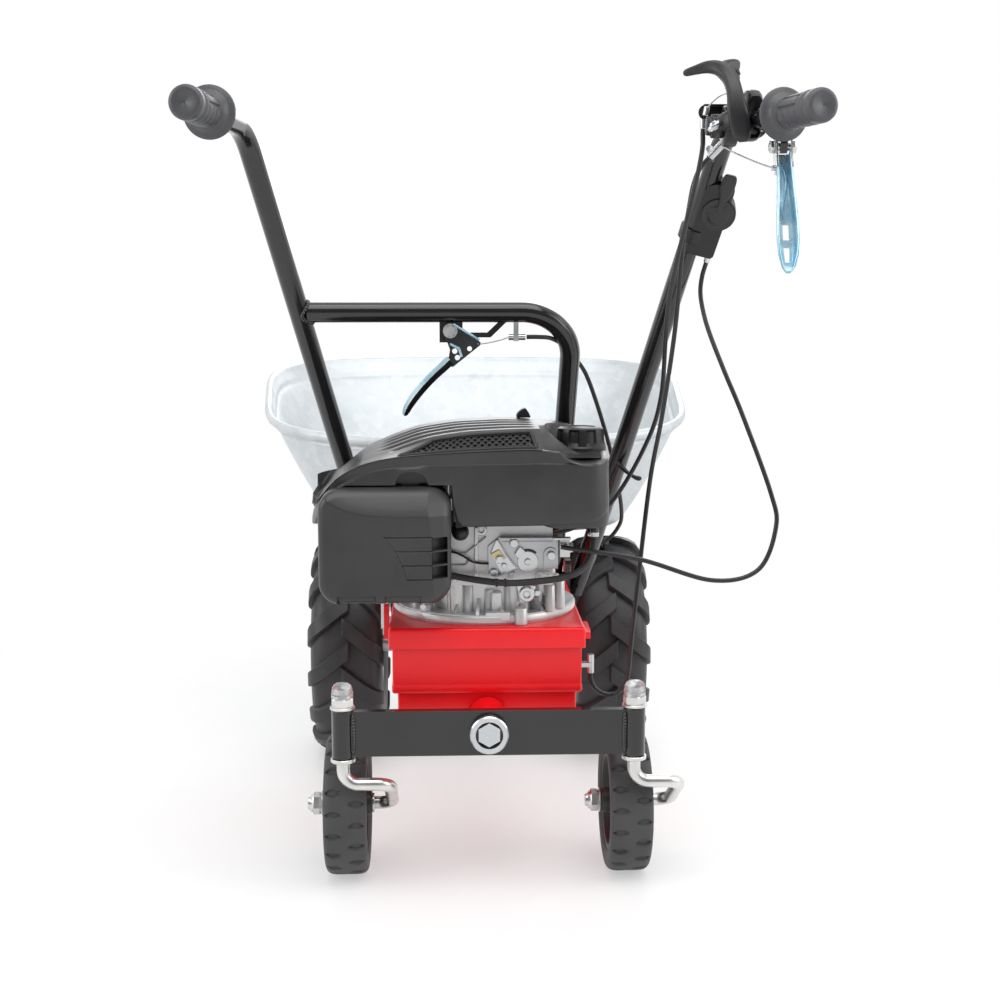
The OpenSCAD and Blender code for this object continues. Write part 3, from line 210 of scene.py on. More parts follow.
red_enamel = coated("red_paint", "red_enamel", ((0.84, 0.004, 0.009), (0.89, 0.006, 0.012)), (0.30, 0.38), (260, 0.04),
                    coat=0.06)
tray_back, tray_front = -512, 70
tray_steps = [(4, 294), (4, 273.4), (3.4, 273), (0.6, 273), (0, 273.6)] + fold(4.5, 298)
tray = stacked(115, (tray_front - tray_back) / 2, 4, tray_steps, (0, (tray_front + tray_back) / 2, 0))
piece("engine_plate_tray", [tray], red_enamel, replaces="engine_plate")
box_back, box_front, STUB = -507, 65.85, (0, 0, 192)
box_half, box_middle = (box_front - box_back) / 2, (0, (box_front + box_back) / 2, 0)
case = [stacked(110.85, box_half, 3, [(0, 229.5), (0, 293.8)], box_middle),
        stacked(111.6, box_half + 0.8, 3.5, [(3, 219), (0.9, 219.9), (0, 222), (0, 227.6), (0.8, 229.6)], box_middle),
        stacked(104.85, 50, 3, [(2.5, 196), (0.6, 196.8), (0, 199), (0, 219)], (0, -452, 0)),
        turned([(-560, 21), (-559, 22), (-505, 22)], STUB, (0, 1, 0)),
        turned([(-574, 11.9), (-505, 11.9)], STUB, (0, 1, 0))]
piece("gearbox_sheet_case", case, red_enamel, replaces="gearbox_case")
dress(red_enamel, "forward_arm", "reverse_arm")

# Final drive: a cast iron reduction housing bolted under the box, the steel axle through
# it, and two pressed steel rims with welded hubs. The casting is painted black over its
# sand skin, the axle and bolts are zinc plated and the rims sprayed silver.
def plated(name, tints, rough=(0.2, 0.36), drift=40, metal=1.0):
    """Bright zinc plating: the coated finish with metal and a fine brushed grain."""
    return coated("zinc", name, tints, rough, (1500, 0.015), drift, metal)


black_casting = coated("iron", "black_casting", ((0.022, 0.022, 0.024), (0.034, 0.034, 0.036)), (0.42, 0.58),
                       (420, 0.25))
bright_zinc = plated("bright_zinc", ((0.60, 0.62, 0.64), (0.74, 0.74, 0.73)))
silver_spray = coated("zinc", "silver_spray", ((0.55, 0.56, 0.57), (0.62, 0.63, 0.64)), (0.34, 0.46), (700, 0.05),
                      metal=0.6)
dress(black_casting, "gear_housing")
dress(bright_zinc, "drive_axle", "wheel_bolts")
dress(silver_spray, "rims")

# Drive tyres: tubeless farm tread tyres of black rubber. Each half of the tread carries
# fourteen slanted bars, moulded with the casing, that start just past the middle line
# and run down over the shoulder, half a pitch apart from the other half's bars.
TYRE_X, TYRE_Z, CROWN = 190.0, 160.0, 151.0
LUGS, LUG_RISE, LUG_LEAN = 14, 9.0, 21.0
SIDES = (-1, "left"), (1, "right")


def curve(points, n):
    """Catmull-Rom line through points: each span's cubic takes its slopes from the points either side."""
    p = np.asarray(points, float)
    p = np.concatenate([2 * p[:1] - p[1:2], p, 2 * p[-1:] - p[-2:-1]])
    t = np.linspace(0, len(p) - 3, n)
    i = np.minimum(t.astype(int), len(p) - 4)
    t = (t - i)[:, None]
    a, b, c, d = p[i], p[i + 1], p[i + 2], p[i + 3]
    return 0.5 * (2 * b + (c - a) * t + (2 * a - 5 * b + 4 * c - d) * t**2 + (3 * b - a - 3 * c + d) * t**3)


def travel(line):
    """The distance run along a line at each of its points."""
    return np.concatenate([[0], np.cumsum(np.linalg.norm(np.diff(line, axis=0), axis=1))])


def spun(x, r, angle, side):
    """Tyre coordinates to space: r and angle round the axle, the angle from straight back and upwards."""
    x, r, angle = np.broadcast_arrays(x, r, angle)
    return np.stack([side * TYRE_X + x, -r * np.cos(angle), TYRE_Z + r * np.sin(angle)], -1)


half_section = [(0, 151), (18, 150.6), (33, 148.6), (43, 143), (48.6, 133), (51, 118), (50, 104), (46.5, 93), (44, 88),
                (40, 77)]


def tyre_casing(side):
    """The casing's outline, mirrored and closed by an inner wall, spun round the axle. Three rings stand proud of
    the sidewall."""
    outer = curve(half_section, 60)
    for radius, half_width, proud in ((108, 1.4, 0.7), (97, 1.2, 0.6), (121, 1.0, 0.5)):
        outer[:, 0] += proud * (np.abs(outer[:, 1] - radius) < half_width)
    inner = np.array([(36, 77), (38, 90), (42, 112), (38, 132), (20, 139), (0, 140)])
    right = np.concatenate([outer[1:], inner])
    ring = np.concatenate([outer[:1], right, (right * [-1, 1])[-2::-1]])
    angle = np.linspace(0, 2 * np.pi, 120, endpoint=False)
    return grid(spun(ring[:, None, 0], ring[:, None, 1], angle, side), round_u=True, round_v=True)


def tyre_lugs(side):
    """Bars in rows: along a bar its line follows the casing outline, leans round the tyre and tapers.
    Each cross section is a trapezium between a sunk foot and a flat top with chamfered edges."""
    outline = curve(half_section, 200)
    length = travel(outline)
    s = np.array([-5, -3.5, 2, 12, 24, 34, 42, 49, 55, 61, 63.5])
    x = np.where(s < 0, s, np.interp(s, length, outline[:, 0]))
    r = np.interp(np.abs(s), length, outline[:, 1])
    normal = unit(np.stack([-np.gradient(r), np.gradient(x)], -1))
    rise = np.interp(s, [-5, -3.5, 40, 56, 61, 63.5], [LUG_RISE - 1.5, LUG_RISE, LUG_RISE, 6, 4.5, 2.5])
    lean = np.interp(s, [-5, 0, 52, 64], [LUG_LEAN + 3, LUG_LEAN, -LUG_LEAN, -LUG_LEAN - 7])
    across = np.array([-14, -12, -11, 11, 12, 14])
    top = np.array([0, 1, 1, 1, 1, 0])
    high = rise[:, None] * top + [-2.5, -1, 0, 0, -1, -2.5]
    bars = []
    for half, shift in ((-1, 0.0), (1, 0.5)):
        angle = 2 * np.pi * (np.arange(LUGS) + shift) / LUGS
        points = spun(half * (x[:, None] + normal[:, None, 0] * high), r[:, None] + normal[:, None, 1] * high,
                      angle[:, None, None] + (lean[:, None] + across) / CROWN, side)
        bars.append(copies(grid(points[0], round_v=True, caps=(True, True)), points.reshape(LUGS, -1, 3)))
    return bars


tread_rubber = coated("tyre", "tread_rubber", ((0.024, 0.024, 0.026), (0.038, 0.038, 0.040)), (0.36, 0.54), (380, 0.10),
                      drift=22)
for side, word in SIDES:
    piece(word + "_farm_tyre", [tyre_casing(side)] + tyre_lugs(side), tread_rubber, "wheels", word + "_tyre", smooth=38)

# Handlebar: two 25 mm steel tubes, each with one bend, a cross tube welded to the left one
# and bent down to the engine plate, and the cheek plates that bolt the tubes to the box.
# All of it is powder coated in gloss black, with the weld beads showing under the coat.
BASE, BEND = np.array([133.0, -175, 274]), np.array([272.0, -490, 868])
TIPS = {-1: np.array([-302.0, -695, 870]), 1: np.array([331.0, -695, 870])}
FALL, BACK = unit(BASE - BEND), unit(TIPS[1] - BEND)
BRACE = BEND + 240 * FALL
MIRROR = np.array([-1, 1, 1])
TUBE = 12.5


def circle(radius, n=24):
    """A round section of n points."""
    a = np.linspace(0, 2 * np.pi, n, endpoint=False)
    return np.stack([np.cos(a), np.sin(a)], -1) * radius


def swept(path, section, up=(0, 0, 1), closed=False):
    """A section (a, b), or one for each point, carried along a path: a lies to the side, across the run
    and the up direction, and b on the third axis."""
    path, section = np.asarray(path, float), np.asarray(section, float)
    run = unit(np.roll(path, -1, 0) - np.roll(path, 1, 0)) if closed else unit(np.gradient(path, axis=0))
    side = unit(np.cross(run, up))
    rise = np.cross(side, run)
    section = section if section.ndim == 3 else section[None]
    points = path[:, None] + section[..., :1] * side[:, None] + section[..., 1:] * rise[:, None]
    return grid(points, round_u=closed, round_v=True, caps=(not closed, not closed))


def bent(points, turn, n=14):
    """A line through points with an arc of one radius at each corner, cut in by radius x tan(half the turn)."""
    points = np.asarray(points, float)
    line = [points[:1]]
    for before, corner, after in zip(points, points[1:], points[2:]):
        a, b = unit(corner - before), unit(after - corner)
        sweep = np.arccos(a @ b)
        inward = unit(b - (a @ b) * a)
        t = np.linspace(0, sweep, n)[:, None]
        line.append(corner - a * turn * np.tan(sweep / 2) + turn * (np.sin(t) * a + (1 - np.cos(t)) * inward))
    return np.concatenate(line + [points[-1:]])


def bead(ring, size, beats=26):
    """A weld bead: a round section carried round a closed line, swelling once for each beat of the torch."""
    t = np.linspace(0, 2 * np.pi, len(ring), endpoint=False)
    swell = size * (1 + 0.16 * np.sin(beats * t))[:, None, None]
    flat = unit(np.linalg.svd(ring - ring.mean(0))[2][2])
    return swept(ring, circle(1, 10)[None] * swell, up=flat, closed=True)


black_coat = coated("black_paint", "black_powder_coat", ((0.005, 0.005, 0.006), (0.008, 0.008, 0.009)), (0.16, 0.24),
                    (240, 0.05), coat=0.5)
for side, word in SIDES:
    flip = np.array([side, 1, 1])
    corner, tip = BEND * flip, TIPS[side]
    line = bent([BASE * flip, corner, tip - 6 * unit(tip - corner)], 55, 22)
    tube = swept(line, circle(TUBE, 40), up=(0.96 * side, 0.2, 0.2))
    piece(word + "_handle_tube", [tube], black_coat, replaces=word + "_handle")


def saddle_ring(turn):
    """The line where the cross tube meets the left tube: for each angle round the first, how far along it the
    second's skin lies, from the quadratic of its distance to the second's axis."""
    ring_r, tube_r = TUBE + 0.1, TUBE + 0.9
    fall = FALL * MIRROR
    reach = ring_r * (np.cos(turn) * fall[1] + np.sin(turn) * fall[2])
    square = 1 - fall[0] ** 2
    root = np.sqrt((fall[0] * reach) ** 2 + square * (tube_r**2 + reach**2 - ring_r**2))
    return BRACE * MIRROR + np.stack([(fall[0] * reach + root) / square, ring_r * np.cos(turn), ring_r * np.sin(turn)],
                                     -1)


BRACE_FOOT = np.array([100, -187, 298])
brace_line = bent([BRACE * MIRROR + [10, 0, 0], [109, BRACE[1], BRACE[2]], BRACE_FOOT], 62, 24)
turn = np.linspace(0, 2 * np.pi, 120, endpoint=False)
foot_ring = BRACE_FOOT + np.stack([13.4 * np.cos(turn), 14.6 * np.sin(turn), np.full(120, 1.5)], -1)
brace = [swept(brace_line, circle(TUBE, 40), up=(0.1, 1, 0.35)), bead(saddle_ring(turn), 2.5), bead(foot_ring, 2.6)]
piece("brace_cross_tube", brace, black_coat, replaces="brace_tube")
dress(black_coat, "handle_brackets", "reverse_bracket", "drive_bracket")
dress(bright_zinc, "frame_bolts")

# Grips: two push-on rubber grips with a wide thumb flange. Their moulding has long ribs over
# the top, finger swells below, a collar and a closed round end.
def handle_grip(side):
    """Radius over length and angle: a base outline, less narrow grooves between long ribs on top,
    plus finger swells underneath."""
    key = np.array([(0, 12.8), (0, 27), (0.6, 28), (2.6, 28), (3.6, 27.2), (4.4, 23.6), (6, 21.2), (8.5, 19.6),
                    (10.5, 18.2), (11.6, 16.8), (13, 16.3), (56, 16.3), (57.5, 16.8), (59, 17.8), (64, 17.8),
                    (65.5, 17), (67, 16.2), (68.6, 16.2), (70, 17.2), (71, 17.7), (79, 17.7), (81.6, 17), (83.2, 15.2),
                    (83.8, 13.2), (83.5, 12), (83.5, 2.2), (82.6, 1.4), (82.4, 0)])
    knot = travel(key)
    t = np.union1d(knot, np.linspace(knot[10] - 3, knot[12] + 2, 80))
    s, r = np.interp(t, knot, key[:, 0])[:, None], np.interp(t, knot, key[:, 1])[:, None]
    a = np.linspace(0, 2 * np.pi, 144, endpoint=False)[None]
    top = np.clip(2.2 * np.cos(a) + 0.9, 0, 1)
    ribbed = np.clip((s - 16) / 1.2, 0, 1) * np.clip((54 - s) / 1.2, 0, 1)
    groove = np.clip(1.6 - np.abs((a * 9 / (2 * np.pi) + 0.5) % 1 - 0.5) / 0.11, 0, 1)
    swell = 0.5 - 0.5 * np.cos(2 * np.pi * (s - 13) / 14.5)
    held = (s > 13) & (s < 56)
    r = r + np.where(held, ribbed * top * (0.9 - 1.9 * groove) + (1 - top) * 1.6 * swell, 0)
    axis = unit(TIPS[side] - BEND * [side, 1, 1])
    over = unit(np.array([0, 0, 1]) - axis * axis[2])
    ring = np.cos(a)[..., None] * over + np.sin(a)[..., None] * np.cross(axis, over)
    start = TIPS[side] - 84 * axis
    return grid(start + s[..., None] * axis + r[..., None] * ring, round_v=True, caps=(True, False))


grip_rubber = coated("rubber", "grip_rubber", ((0.058, 0.059, 0.065), (0.076, 0.077, 0.084)), (0.34, 0.46), (700, 0.05))
piece("ribbed_grips", [handle_grip(-1), handle_grip(1)], grip_rubber, replaces="grips", smooth=50)

# Stop lever: a moulded clamp with a round pivot housing on the right tube, a cable arm with a
# channel, and a smooth curved blade whose finger points to the operator's thumb. Black nylon.
STOP = BEND + 56 * BACK
STOP_AXIS = (0, STOP[1], STOP[2] - 4)
SIDEWAYS, UPWARDS, REARWARDS = (1, 0, 0), (0, 0, 1), (0, -1, 0)
lever_grey = coated("plastic", "lever_grey", ((0.016, 0.016, 0.018), (0.024, 0.024, 0.026)), (0.34, 0.44), (900, 0.04))
nylon = coated("plastic", "black_nylon", ((0.007, 0.007, 0.008), (0.012, 0.012, 0.013)), (0.28, 0.40), (800, 0.04))


def oval(half_a, half_b, n=24, power=2.6):
    """A section between an ellipse and a rectangle: |a|^p + |b|^p = 1."""
    t = np.linspace(0, 2 * np.pi, n, endpoint=False)
    reach = (np.abs(np.cos(t)) ** power + np.abs(np.sin(t)) ** power) ** (-1 / power)
    return np.stack([half_a * reach * np.cos(t), half_b * reach * np.sin(t)], -1)


def tapered(key, n, up, power=2.6):
    """Ovals along a line: each row of key is (x, y, z, half width, half depth)."""
    rows = curve(key, n)
    section = np.stack([oval(a, b, 24, power) for a, b in rows[:, 3:]])
    return swept(rows[:, :3], section, up=up)


def arc(middle, radius, start, end, n):
    """Points of an arc round a middle between two angles in degrees."""
    a = np.radians(np.linspace(start, end, n))
    return np.asarray(middle) + np.stack([np.cos(a), np.sin(a)], -1) * radius


blade = tapered([(274, -575, 844.6, 4, 2.4), (273.4, -575.4, 850, 8.4, 4.2), (270.4, -575.4, 862, 11, 4.6),
                 (267, -574.6, 879, 10.6, 4.8), (265, -568, 898, 8.6, 6), (262.4, -558, 912, 8.4, 7),
                 (257.4, -549.6, 921, 8.4, 8), (250, -543.6, 926.4, 7.6, 8), (240, -538.6, 927.8, 6.6, 7),
                 (229, -534.6, 925.6, 5.2, 5.8), (219, -531, 923, 4, 4.6), (216.4, -530.4, 922.2, 2.8, 3.4),
                 (215.4, -530, 922, 1, 1.4)], 64, (0, 1, 0.05), 3.6)
web = tapered([(251, -546, 864.5, 6.4, 9), (253, -556, 866, 6.4, 9), (258, -567, 868, 6.2, 10),
               (264, -573, 870, 5.6, 11)], 16, (0, 0.1, 1))
hub = turned([(239, 0), (239, 9), (239.8, 10), (244, 10.4), (244.4, 12.4), (245.2, 13), (256.4, 13), (257.2, 12.2),
              (257.2, 0)], STOP_AXIS, SIDEWAYS)
heel = tapered([(257, -540, 924, 4, 6), (261, -536, 928, 5.6, 7.6), (267, -531, 930, 6, 7.6), (273, -528, 930.6, 5, 7),
                (276.4, -526, 930, 3, 5)], 22, UPWARDS, 4)
neck = turned([(0, 3.4), (4, 4.8), (5, 3.8), (9, 4.6), (10, 3.6), (14, 4.2), (15, 3.2), (23, 2.8)],
              (274.5, -527, 926), (-0.12, -0.3, -1), 20)
piece("stop_blade", [blade, web, hub, heel, neck], lever_grey, "stop_hand", "stop_lever", smooth=50)

clamp_x = STOP[0] - TUBE - 6
housing = turned([(-11.8, 5.4), (-11.8, 20), (-10.8, 21.6), (-7, 22), (2, 22), (3, 21)], (clamp_x, *STOP_AXIS[1:]),
                 SIDEWAYS, 56)
collar = turned([(-24, 12.7), (-24, 15.8), (-23, 16.6), (-13, 16.6), (-12.4, 17.6), (-11, 18.5), (9, 18.5), (10, 17.5),
                 (10, 12.7)], STOP, BACK, 56)
knob = tapered([(287, -569, 873, 7, 20), (287, -567, 873.6, 9.6, 24), (287, -560, 874.4, 10.6, 27),
                (286.4, -550, 875, 11, 27.6), (286, -542, 875, 10.6, 26.6), (286, -538, 874, 8, 23)], 26, UPWARDS, 3.4)
arm = STOP + [-TUBE - 32, 20, 5.5]
channel_floor = np.concatenate([arc((0, 8.25), 8.25, 90, 270, 15), [(31, 0), (31, 16.5)]])
channel = [plate(channel_floor, -7, -5.6, arm, SIDEWAYS, UPWARDS)]
channel += [plate([(-3, low), (31, low), (31, low + 3.2), (-3, low + 3.2)], -7, 0, arm, SIDEWAYS, UPWARDS)
            for low in (0, 13.3)]
piece("stop_clamp_body", [housing, collar, knob] + channel, nylon, replaces="stop_clamp", smooth=34, bevel=0.6)
wing = [turned([(0, 2.4), (6, 2.4), (6.6, 5), (9, 5), (9.6, 3.6)], (247, -559, 862), (-0.35, -1, 0.1), 24),
        tapered([(238, -567, 857, 2, 2.4), (240.4, -568, 859, 3, 4), (244, -569, 862, 2.6, 4.4),
                 (247.6, -568, 865, 3, 4), (250, -567, 867, 2, 2.4)], 22, (0, 1, 0))]
piece("stop_wing_screw", wing, bright_zinc, "stop_hand", smooth=40)
barrel = turned([(-5, 0), (-5, 2.8), (-4.4, 3.4), (4.4, 3.4), (5, 2.8), (5, 0)], arm + [-1, -3, 8.25], (0.2, 0, 1), 24)
piece("stop_wire_barrel", [barrel], bright_zinc, smooth=40)

# Drive lever: a pressed steel channel in the shape of a long leaf, with blue zinc passivate, two
# pale cheeks at the pivot, and a black tab on a clamp band round the right tube.
PIN = np.array([312.87, -593.78, 838.01])
LEAF_TILT = np.radians(72)
LEAF_Y = np.array([0, np.cos(LEAF_TILT), np.sin(LEAF_TILT)])
LEAF_Z = np.array([0, -np.sin(LEAF_TILT), np.cos(LEAF_TILT)])
LEAF_SLOTS = (-103, -86), (-128, -111)


def leaf_channel():
    """A trough over (across, along): the half width follows the leaf, the floor lies deepest in the middle, walls
    rise to the edges, and an S shaped ridge runs down the upper part. Two slots are left open."""
    slot_ends = np.ravel(LEAF_SLOTS)
    y = np.union1d(np.linspace(-139.5, -6, 66), np.concatenate([slot_ends - 0.2, slot_ends + 0.2]))
    a = np.union1d(np.linspace(-1, 1, 33), [-0.30, -0.25, 0.25, 0.30])[None]
    half = np.interp(-y, [0, 15, 34, 60, 86, 103, 120, 134, 139.5],
                     [7.6, 7.4, 8, 9.2, 10.8, 11.2, 10, 6.4, 1.8])[:, None]
    rise = np.interp(-y, [0, 20, 60, 110, 134, 139.5], [6, 8.4, 11.4, 9.4, 3.6, 0])[:, None]
    low = np.interp(-y, [0, 20, 60, 110, 134, 139.5], [-7.6, -7.6, -4.6, -4.4, -3.2, -2.4])[:, None]
    wall = np.clip((np.abs(a) - 0.62) / 0.38, 0, 1)
    snake = 0.34 * np.sin(np.clip((-y - 20) / 66, 0, 1) * 2 * np.pi)[:, None]
    upper = np.clip((-y - 12) / 12, 0, 1) * np.clip((84 + y) / 14, 0, 1)
    ridge = 2.2 * np.exp(-(((a - snake) / 0.16) ** 2)) * upper[:, None]
    depth = low + (rise - low) * (1 - np.sqrt(np.clip(1 - wall**2, 0, 1))) + ridge
    middle_a, middle_y = (a[0, 1:] + a[0, :-1]) / 2, (y[1:] + y[:-1]) / 2
    in_slot = sum((middle_y > start) & (middle_y < end) for start, end in LEAF_SLOTS)
    keep = ~((np.abs(middle_a)[None] < 0.28) & (in_slot > 0)[:, None])
    return grid(framed(np.stack([half * a, y[:, None] + 0 * a, depth], -1), PIN, SIDEWAYS, LEAF_Y), keep=keep)


def hexagon(flats, low, high, origin, axis, crown=0.06):
    """A nut or bolt head: a hexagon whose two end faces are drawn in to a circle."""
    axis = unit(axis)
    x = unit(np.cross(axis, (0.41, 0.33, 0.85)))
    r = flats / 2 / np.where(np.arange(12) % 2, np.cos(np.pi / 6), 1.0)
    inner, rise = np.full(12, flats / 2), flats * crown
    rings = (inner, low), (r, low + rise), (r, high - rise), (inner, high)
    points = np.stack([raised(q[:, None] * circle(1, 12), h) for q, h in rings])
    return grid(framed(points, origin, x, np.cross(axis, x)), round_v=True, caps=(True, True))


blue_zinc = plated("blue_zinc", ((0.36, 0.62, 0.78), (0.62, 0.80, 0.88)), (0.20, 0.34), drift=26, metal=0.72)
piece("drive_leaf", [leaf_channel()], blue_zinc, "drive_hand", "drive_lever", smooth=45, wall=1.8)
cheek = [(9, -3), (9, 4), (5, 9), (-1, 10), (-8, 8), (-16, 9), (-26, 9), (-30, 5), (-30, -5), (-22, -7), (-8, -7),
         (4, -7)]
cheeks = [plate(cheek, side * 8 - 1.1, side * 8 + 1.1, PIN, LEAF_Y, LEAF_Z) for side in (-1, 1)]
nuts = [hexagon(13, 9.2, 14, PIN, (side, 0, 0)) for side in (-1, 1)]
pin_end = turned([(-15.4, 0), (-15, 3.4), (-14, 4), (14, 4), (15, 3.4), (15.4, 0)], PIN, SIDEWAYS, 28)
hook = turned([(-4, 2.6), (-3.6, 3), (3, 3), (3.4, 2.6)], PIN - 24 * LEAF_Y + [-9, 0, 0], SIDEWAYS, 24)
piece("drive_cheeks", cheeks + nuts + [pin_end, hook], bright_zinc, "drive_hand", smooth=32, bevel=0.5)

# Throttle: a two part moulded box strapped to the right tube, with a ribbed drum on its outer
# side and a small lever on the drum's axle. Black plastic with a satin face.
STRAP_AT = BEND + 57 * FALL
BOX_X, BOX_Y = np.array([0.971773, -0.015143, -0.235433]), np.array([-0.121119, -0.88841, -0.442784])
DRUM_X, DRUM_Z = 19.5, 40


def boxed(points):
    """Points of the throttle's own frame, with z along the tube, set in space."""
    return STRAP_AT + np.asarray(points, float) @ np.stack([BOX_X, BOX_Y, FALL])


case_rows = [(3, 8, 10), (6, 9.4, 12), (10, 10.4, 13.6), (14, 10.5, 14), (92, 10.5, 14), (95, 10, 13.5),
             (96.5, 8.5, 12)]
case_rings = np.stack([raised(rounded(hx, hy, 3.5) + [20, 0], z) for z, hx, hy in case_rows])
cover_edge = np.concatenate([[(-3, 92), (-4, 90), (-4, 16), (-1, 9), (6, 5), (24, 5)],
                             arc((DRUM_X, DRUM_Z), 20.6, -62, 58, 16), [(30, 92), (27, 96), (0, 96)]])
drum_rows = [(-14, 0), (-14, 19.6), (-13, 20.6), (-5.6, 21), (-5, 20), (-3.6, 20), (-3, 21), (3, 21), (3.6, 20),
             (5, 20), (5.6, 21), (12, 20.8), (12.6, 20), (12.6, 0)]
throttle = [grid(boxed(case_rings), round_v=True, caps=(True, True)),
            turned(drum_rows, boxed((DRUM_X, 0, DRUM_Z)), BOX_Y, 64),
            turned([(66, 12.7), (66, 16), (66.8, 16.6), (81.2, 16.6), (82, 16), (82, 12.7)], STRAP_AT, FALL),
            plate(cover_edge, -14.1, -12.7, STRAP_AT, BOX_X, FALL)]
piece("throttle_case", throttle, nylon, replaces="throttle_box", smooth=32, bevel=0.6)
disc_rows = [(0.2, 4), (0.2, 18.6), (0.8, 19.4), (1.6, 19.4), (1.9, 18), (1.5, 17), (1.5, 12.6), (1.9, 12), (2.6, 11.4),
             (3, 10), (3, 0)]
arm_rows = ((4, 3.6, 1.6), (16, 4, 2), (24, 5.4, 2.2), (30, 7.6, 2.6), (36, 8.2, 2.8), (44, 8.1, 2.8), (49, 7, 2.4),
            (51, 5, 1.8))
pointer_arm = [(*boxed((DRUM_X, 16.6, DRUM_Z - s)), w, d) for s, w, d in arm_rows]
pointer = [turned(disc_rows, boxed((DRUM_X, 14.4, DRUM_Z)), BOX_Y, 64), tapered(pointer_arm, 34, BOX_Y, 5)]
piece("throttle_pointer", pointer, lever_grey, "throttle_hand", "throttle_lever", smooth=40)

# Reverse lever: a zinc plated pressing on a black flat bar bracket below the cross tube. A grey
# cheek plate turns on a hexagon bolt and holds the wire, and the blade is folded like a roof. The
# blade's shaded side is painted shade in the cheek's dark zinc, and its lit side is blue zinc.
LEVER = np.array([-41.0, BRACE[1], 637.86])
blade_line = [(-41, 603, 5.4), (-45, 599.2, 5.8), (-49.4, 595, 5.8), (-61, 584.4, 5.5), (-73, 572, 5.4),
              (-83.5, 559.5, 5.3), (-91.2, 548.6, 4.9), (-95.6, 540, 3.9), (-97, 536.6, 2.4), (-97.4, 535.6, 1)]


def folded_blade(sides, away):
    """Half of a roof section along the lever's line: sides are shares of the half width, and away is how far each
    falls back from the ridge that stands to the operator."""
    rows = curve(blade_line, 50)
    line = np.column_stack([rows[:, 0], np.full(50, LEVER[1] - 11.5), rows[:, 1]])
    run = unit(np.gradient(line, axis=0))
    across = np.stack([-run[:, 2], 0 * run[:, 0], run[:, 0]], -1)
    fall = np.multiply.outer(away, (0, 1, 0))
    return grid(line[:, None] + (rows[:, 2:] * np.array(sides))[..., None] * across[:, None] + fall)


def pierced(outline, holes):
    """An outline with round holes (corner, x, z, radius): each is reached from a corner of the outline by a cut two
    hundredths wide."""
    rows = []
    for k, corner in enumerate(np.asarray(outline, float)):
        rows.append(corner[None])
        for x, z, r in [hole[1:] for hole in holes if hole[0] == k]:
            start = np.arctan2(corner[1] - z, corner[0] - x)
            t = start - np.linspace(0.004, 2 * np.pi - 0.004, 22)
            back = corner + 0.02 * np.array([-np.sin(start), np.cos(start)])
            rows += [np.stack([x + r * np.cos(t), z + r * np.sin(t)], -1), back[None]]
    return np.concatenate(rows)


def upright(outline, back, front):
    """A plate over (x, z) between two depths."""
    return plate(outline, -back, -front, (0, 0, 0), SIDEWAYS, UPWARDS)


# Dark zinc: the cheek's own dark grey plating, also used as painted shade on the blade's shaded side.
dark_zinc_and_shade = plated("dark_zinc_and_shade", ((0.050, 0.052, 0.056), (0.080, 0.083, 0.088)), (0.26, 0.40))
cheek_edge = np.concatenate([arc((-41, 637.86), 9.4, 52, 200, 12),
                             [(-45, 625), (-41.4, 615), (-43, 606), (-47.6, 597.4), (-38, 594), (-23, 606),
                              (-4.6, 620.6), (-4, 623.6), (-7, 626.5)]])
cheek_plate = pierced(cheek_edge, [(13, -35.6, 613.4, 3.2), (16, -32.4, 605.6, 3.2), (18, -17.6, 616.4, 3)])
piece("reverse_cheek", [upright(cheek_plate, -383.4, -386.2)], dark_zinc_and_shade, "reverse_hand", smooth=30)
# Painted shade: the blade is one pressing in two colours, its shaded side dark zinc and its lit side blue zinc.
shaded_side_paint = folded_blade((-0.1, -0.06, 0.3, 0.7, 0.92, 1), (0.2, 0, 1.2, 2.6, 3.4, 4.4))
piece("reverse_blade_shaded_side", [shaded_side_paint], dark_zinc_and_shade, "reverse_hand", smooth=40, wall=1.2)
lit_side = [folded_blade((-1, -0.94, -0.7, -0.4, -0.16, -0.1), (6.4, 5.4, 3.8, 1.9, 0.4, 0.1)),
               swept([(-37, -386.8, 646), (-6, -386.8, 627)], circle(1.1, 8), up=(0, 1, 0)),
               swept([(-41, -386.6, 622), (-30.4, -386.6, 616.6), (-27.4, -386.6, 607)], circle(1.3, 8), up=(0, 1, 0))]
piece("reverse_blade", lit_side, blue_zinc, "reverse_hand", "reverse_lever", smooth=40, wall=1.2)
pivot = [hexagon(13, 7.6, 13, LEVER, REARWARDS), turned([(6, 4), (6, 8.8), (7.6, 8.8), (7.6, 4)], LEVER, REARWARDS, 32),
         turned([(-10, 3.4), (-9.4, 4), (8, 4)], LEVER, REARWARDS, 24), hexagon(13, 3.4, 9, LEVER, (0, 1, 0))]
piece("reverse_pivot_bolt", pivot, bright_zinc, "reverse_hand", smooth=30)

# Bare wires: a thin stranded steel wire runs from each adjuster to its lever. The rope of the
# starter handle is drawn the same way.
def wire(name, start, end, finish, r=0.9, sag=1.5):
    """A thin round line between two points, sagging by a parabola."""
    t = np.linspace(0, 1, 24)[:, None]
    start, end = np.asarray(start, float), np.asarray(end, float)
    line = start + (end - start) * t - [0, 0, 4 * sag] * t * (1 - t)
    made = piece(name, [swept(line, circle(r, 8), up=(0.3, 0.4, 0.9))], finish, None, smooth=60)
    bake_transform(made)


wire("drive_wire", (262, -509, 847), PIN - 24 * LEAF_Y + [-11, 0, 0], bright_zinc)
wire("stop_wire", arm + [-1, -3, 10], (258.6, -565, 897), bright_zinc, sag=-4)
wire("reverse_wire", (31, -379.9, 630.4), (-8, -385.6, 622), bright_zinc)

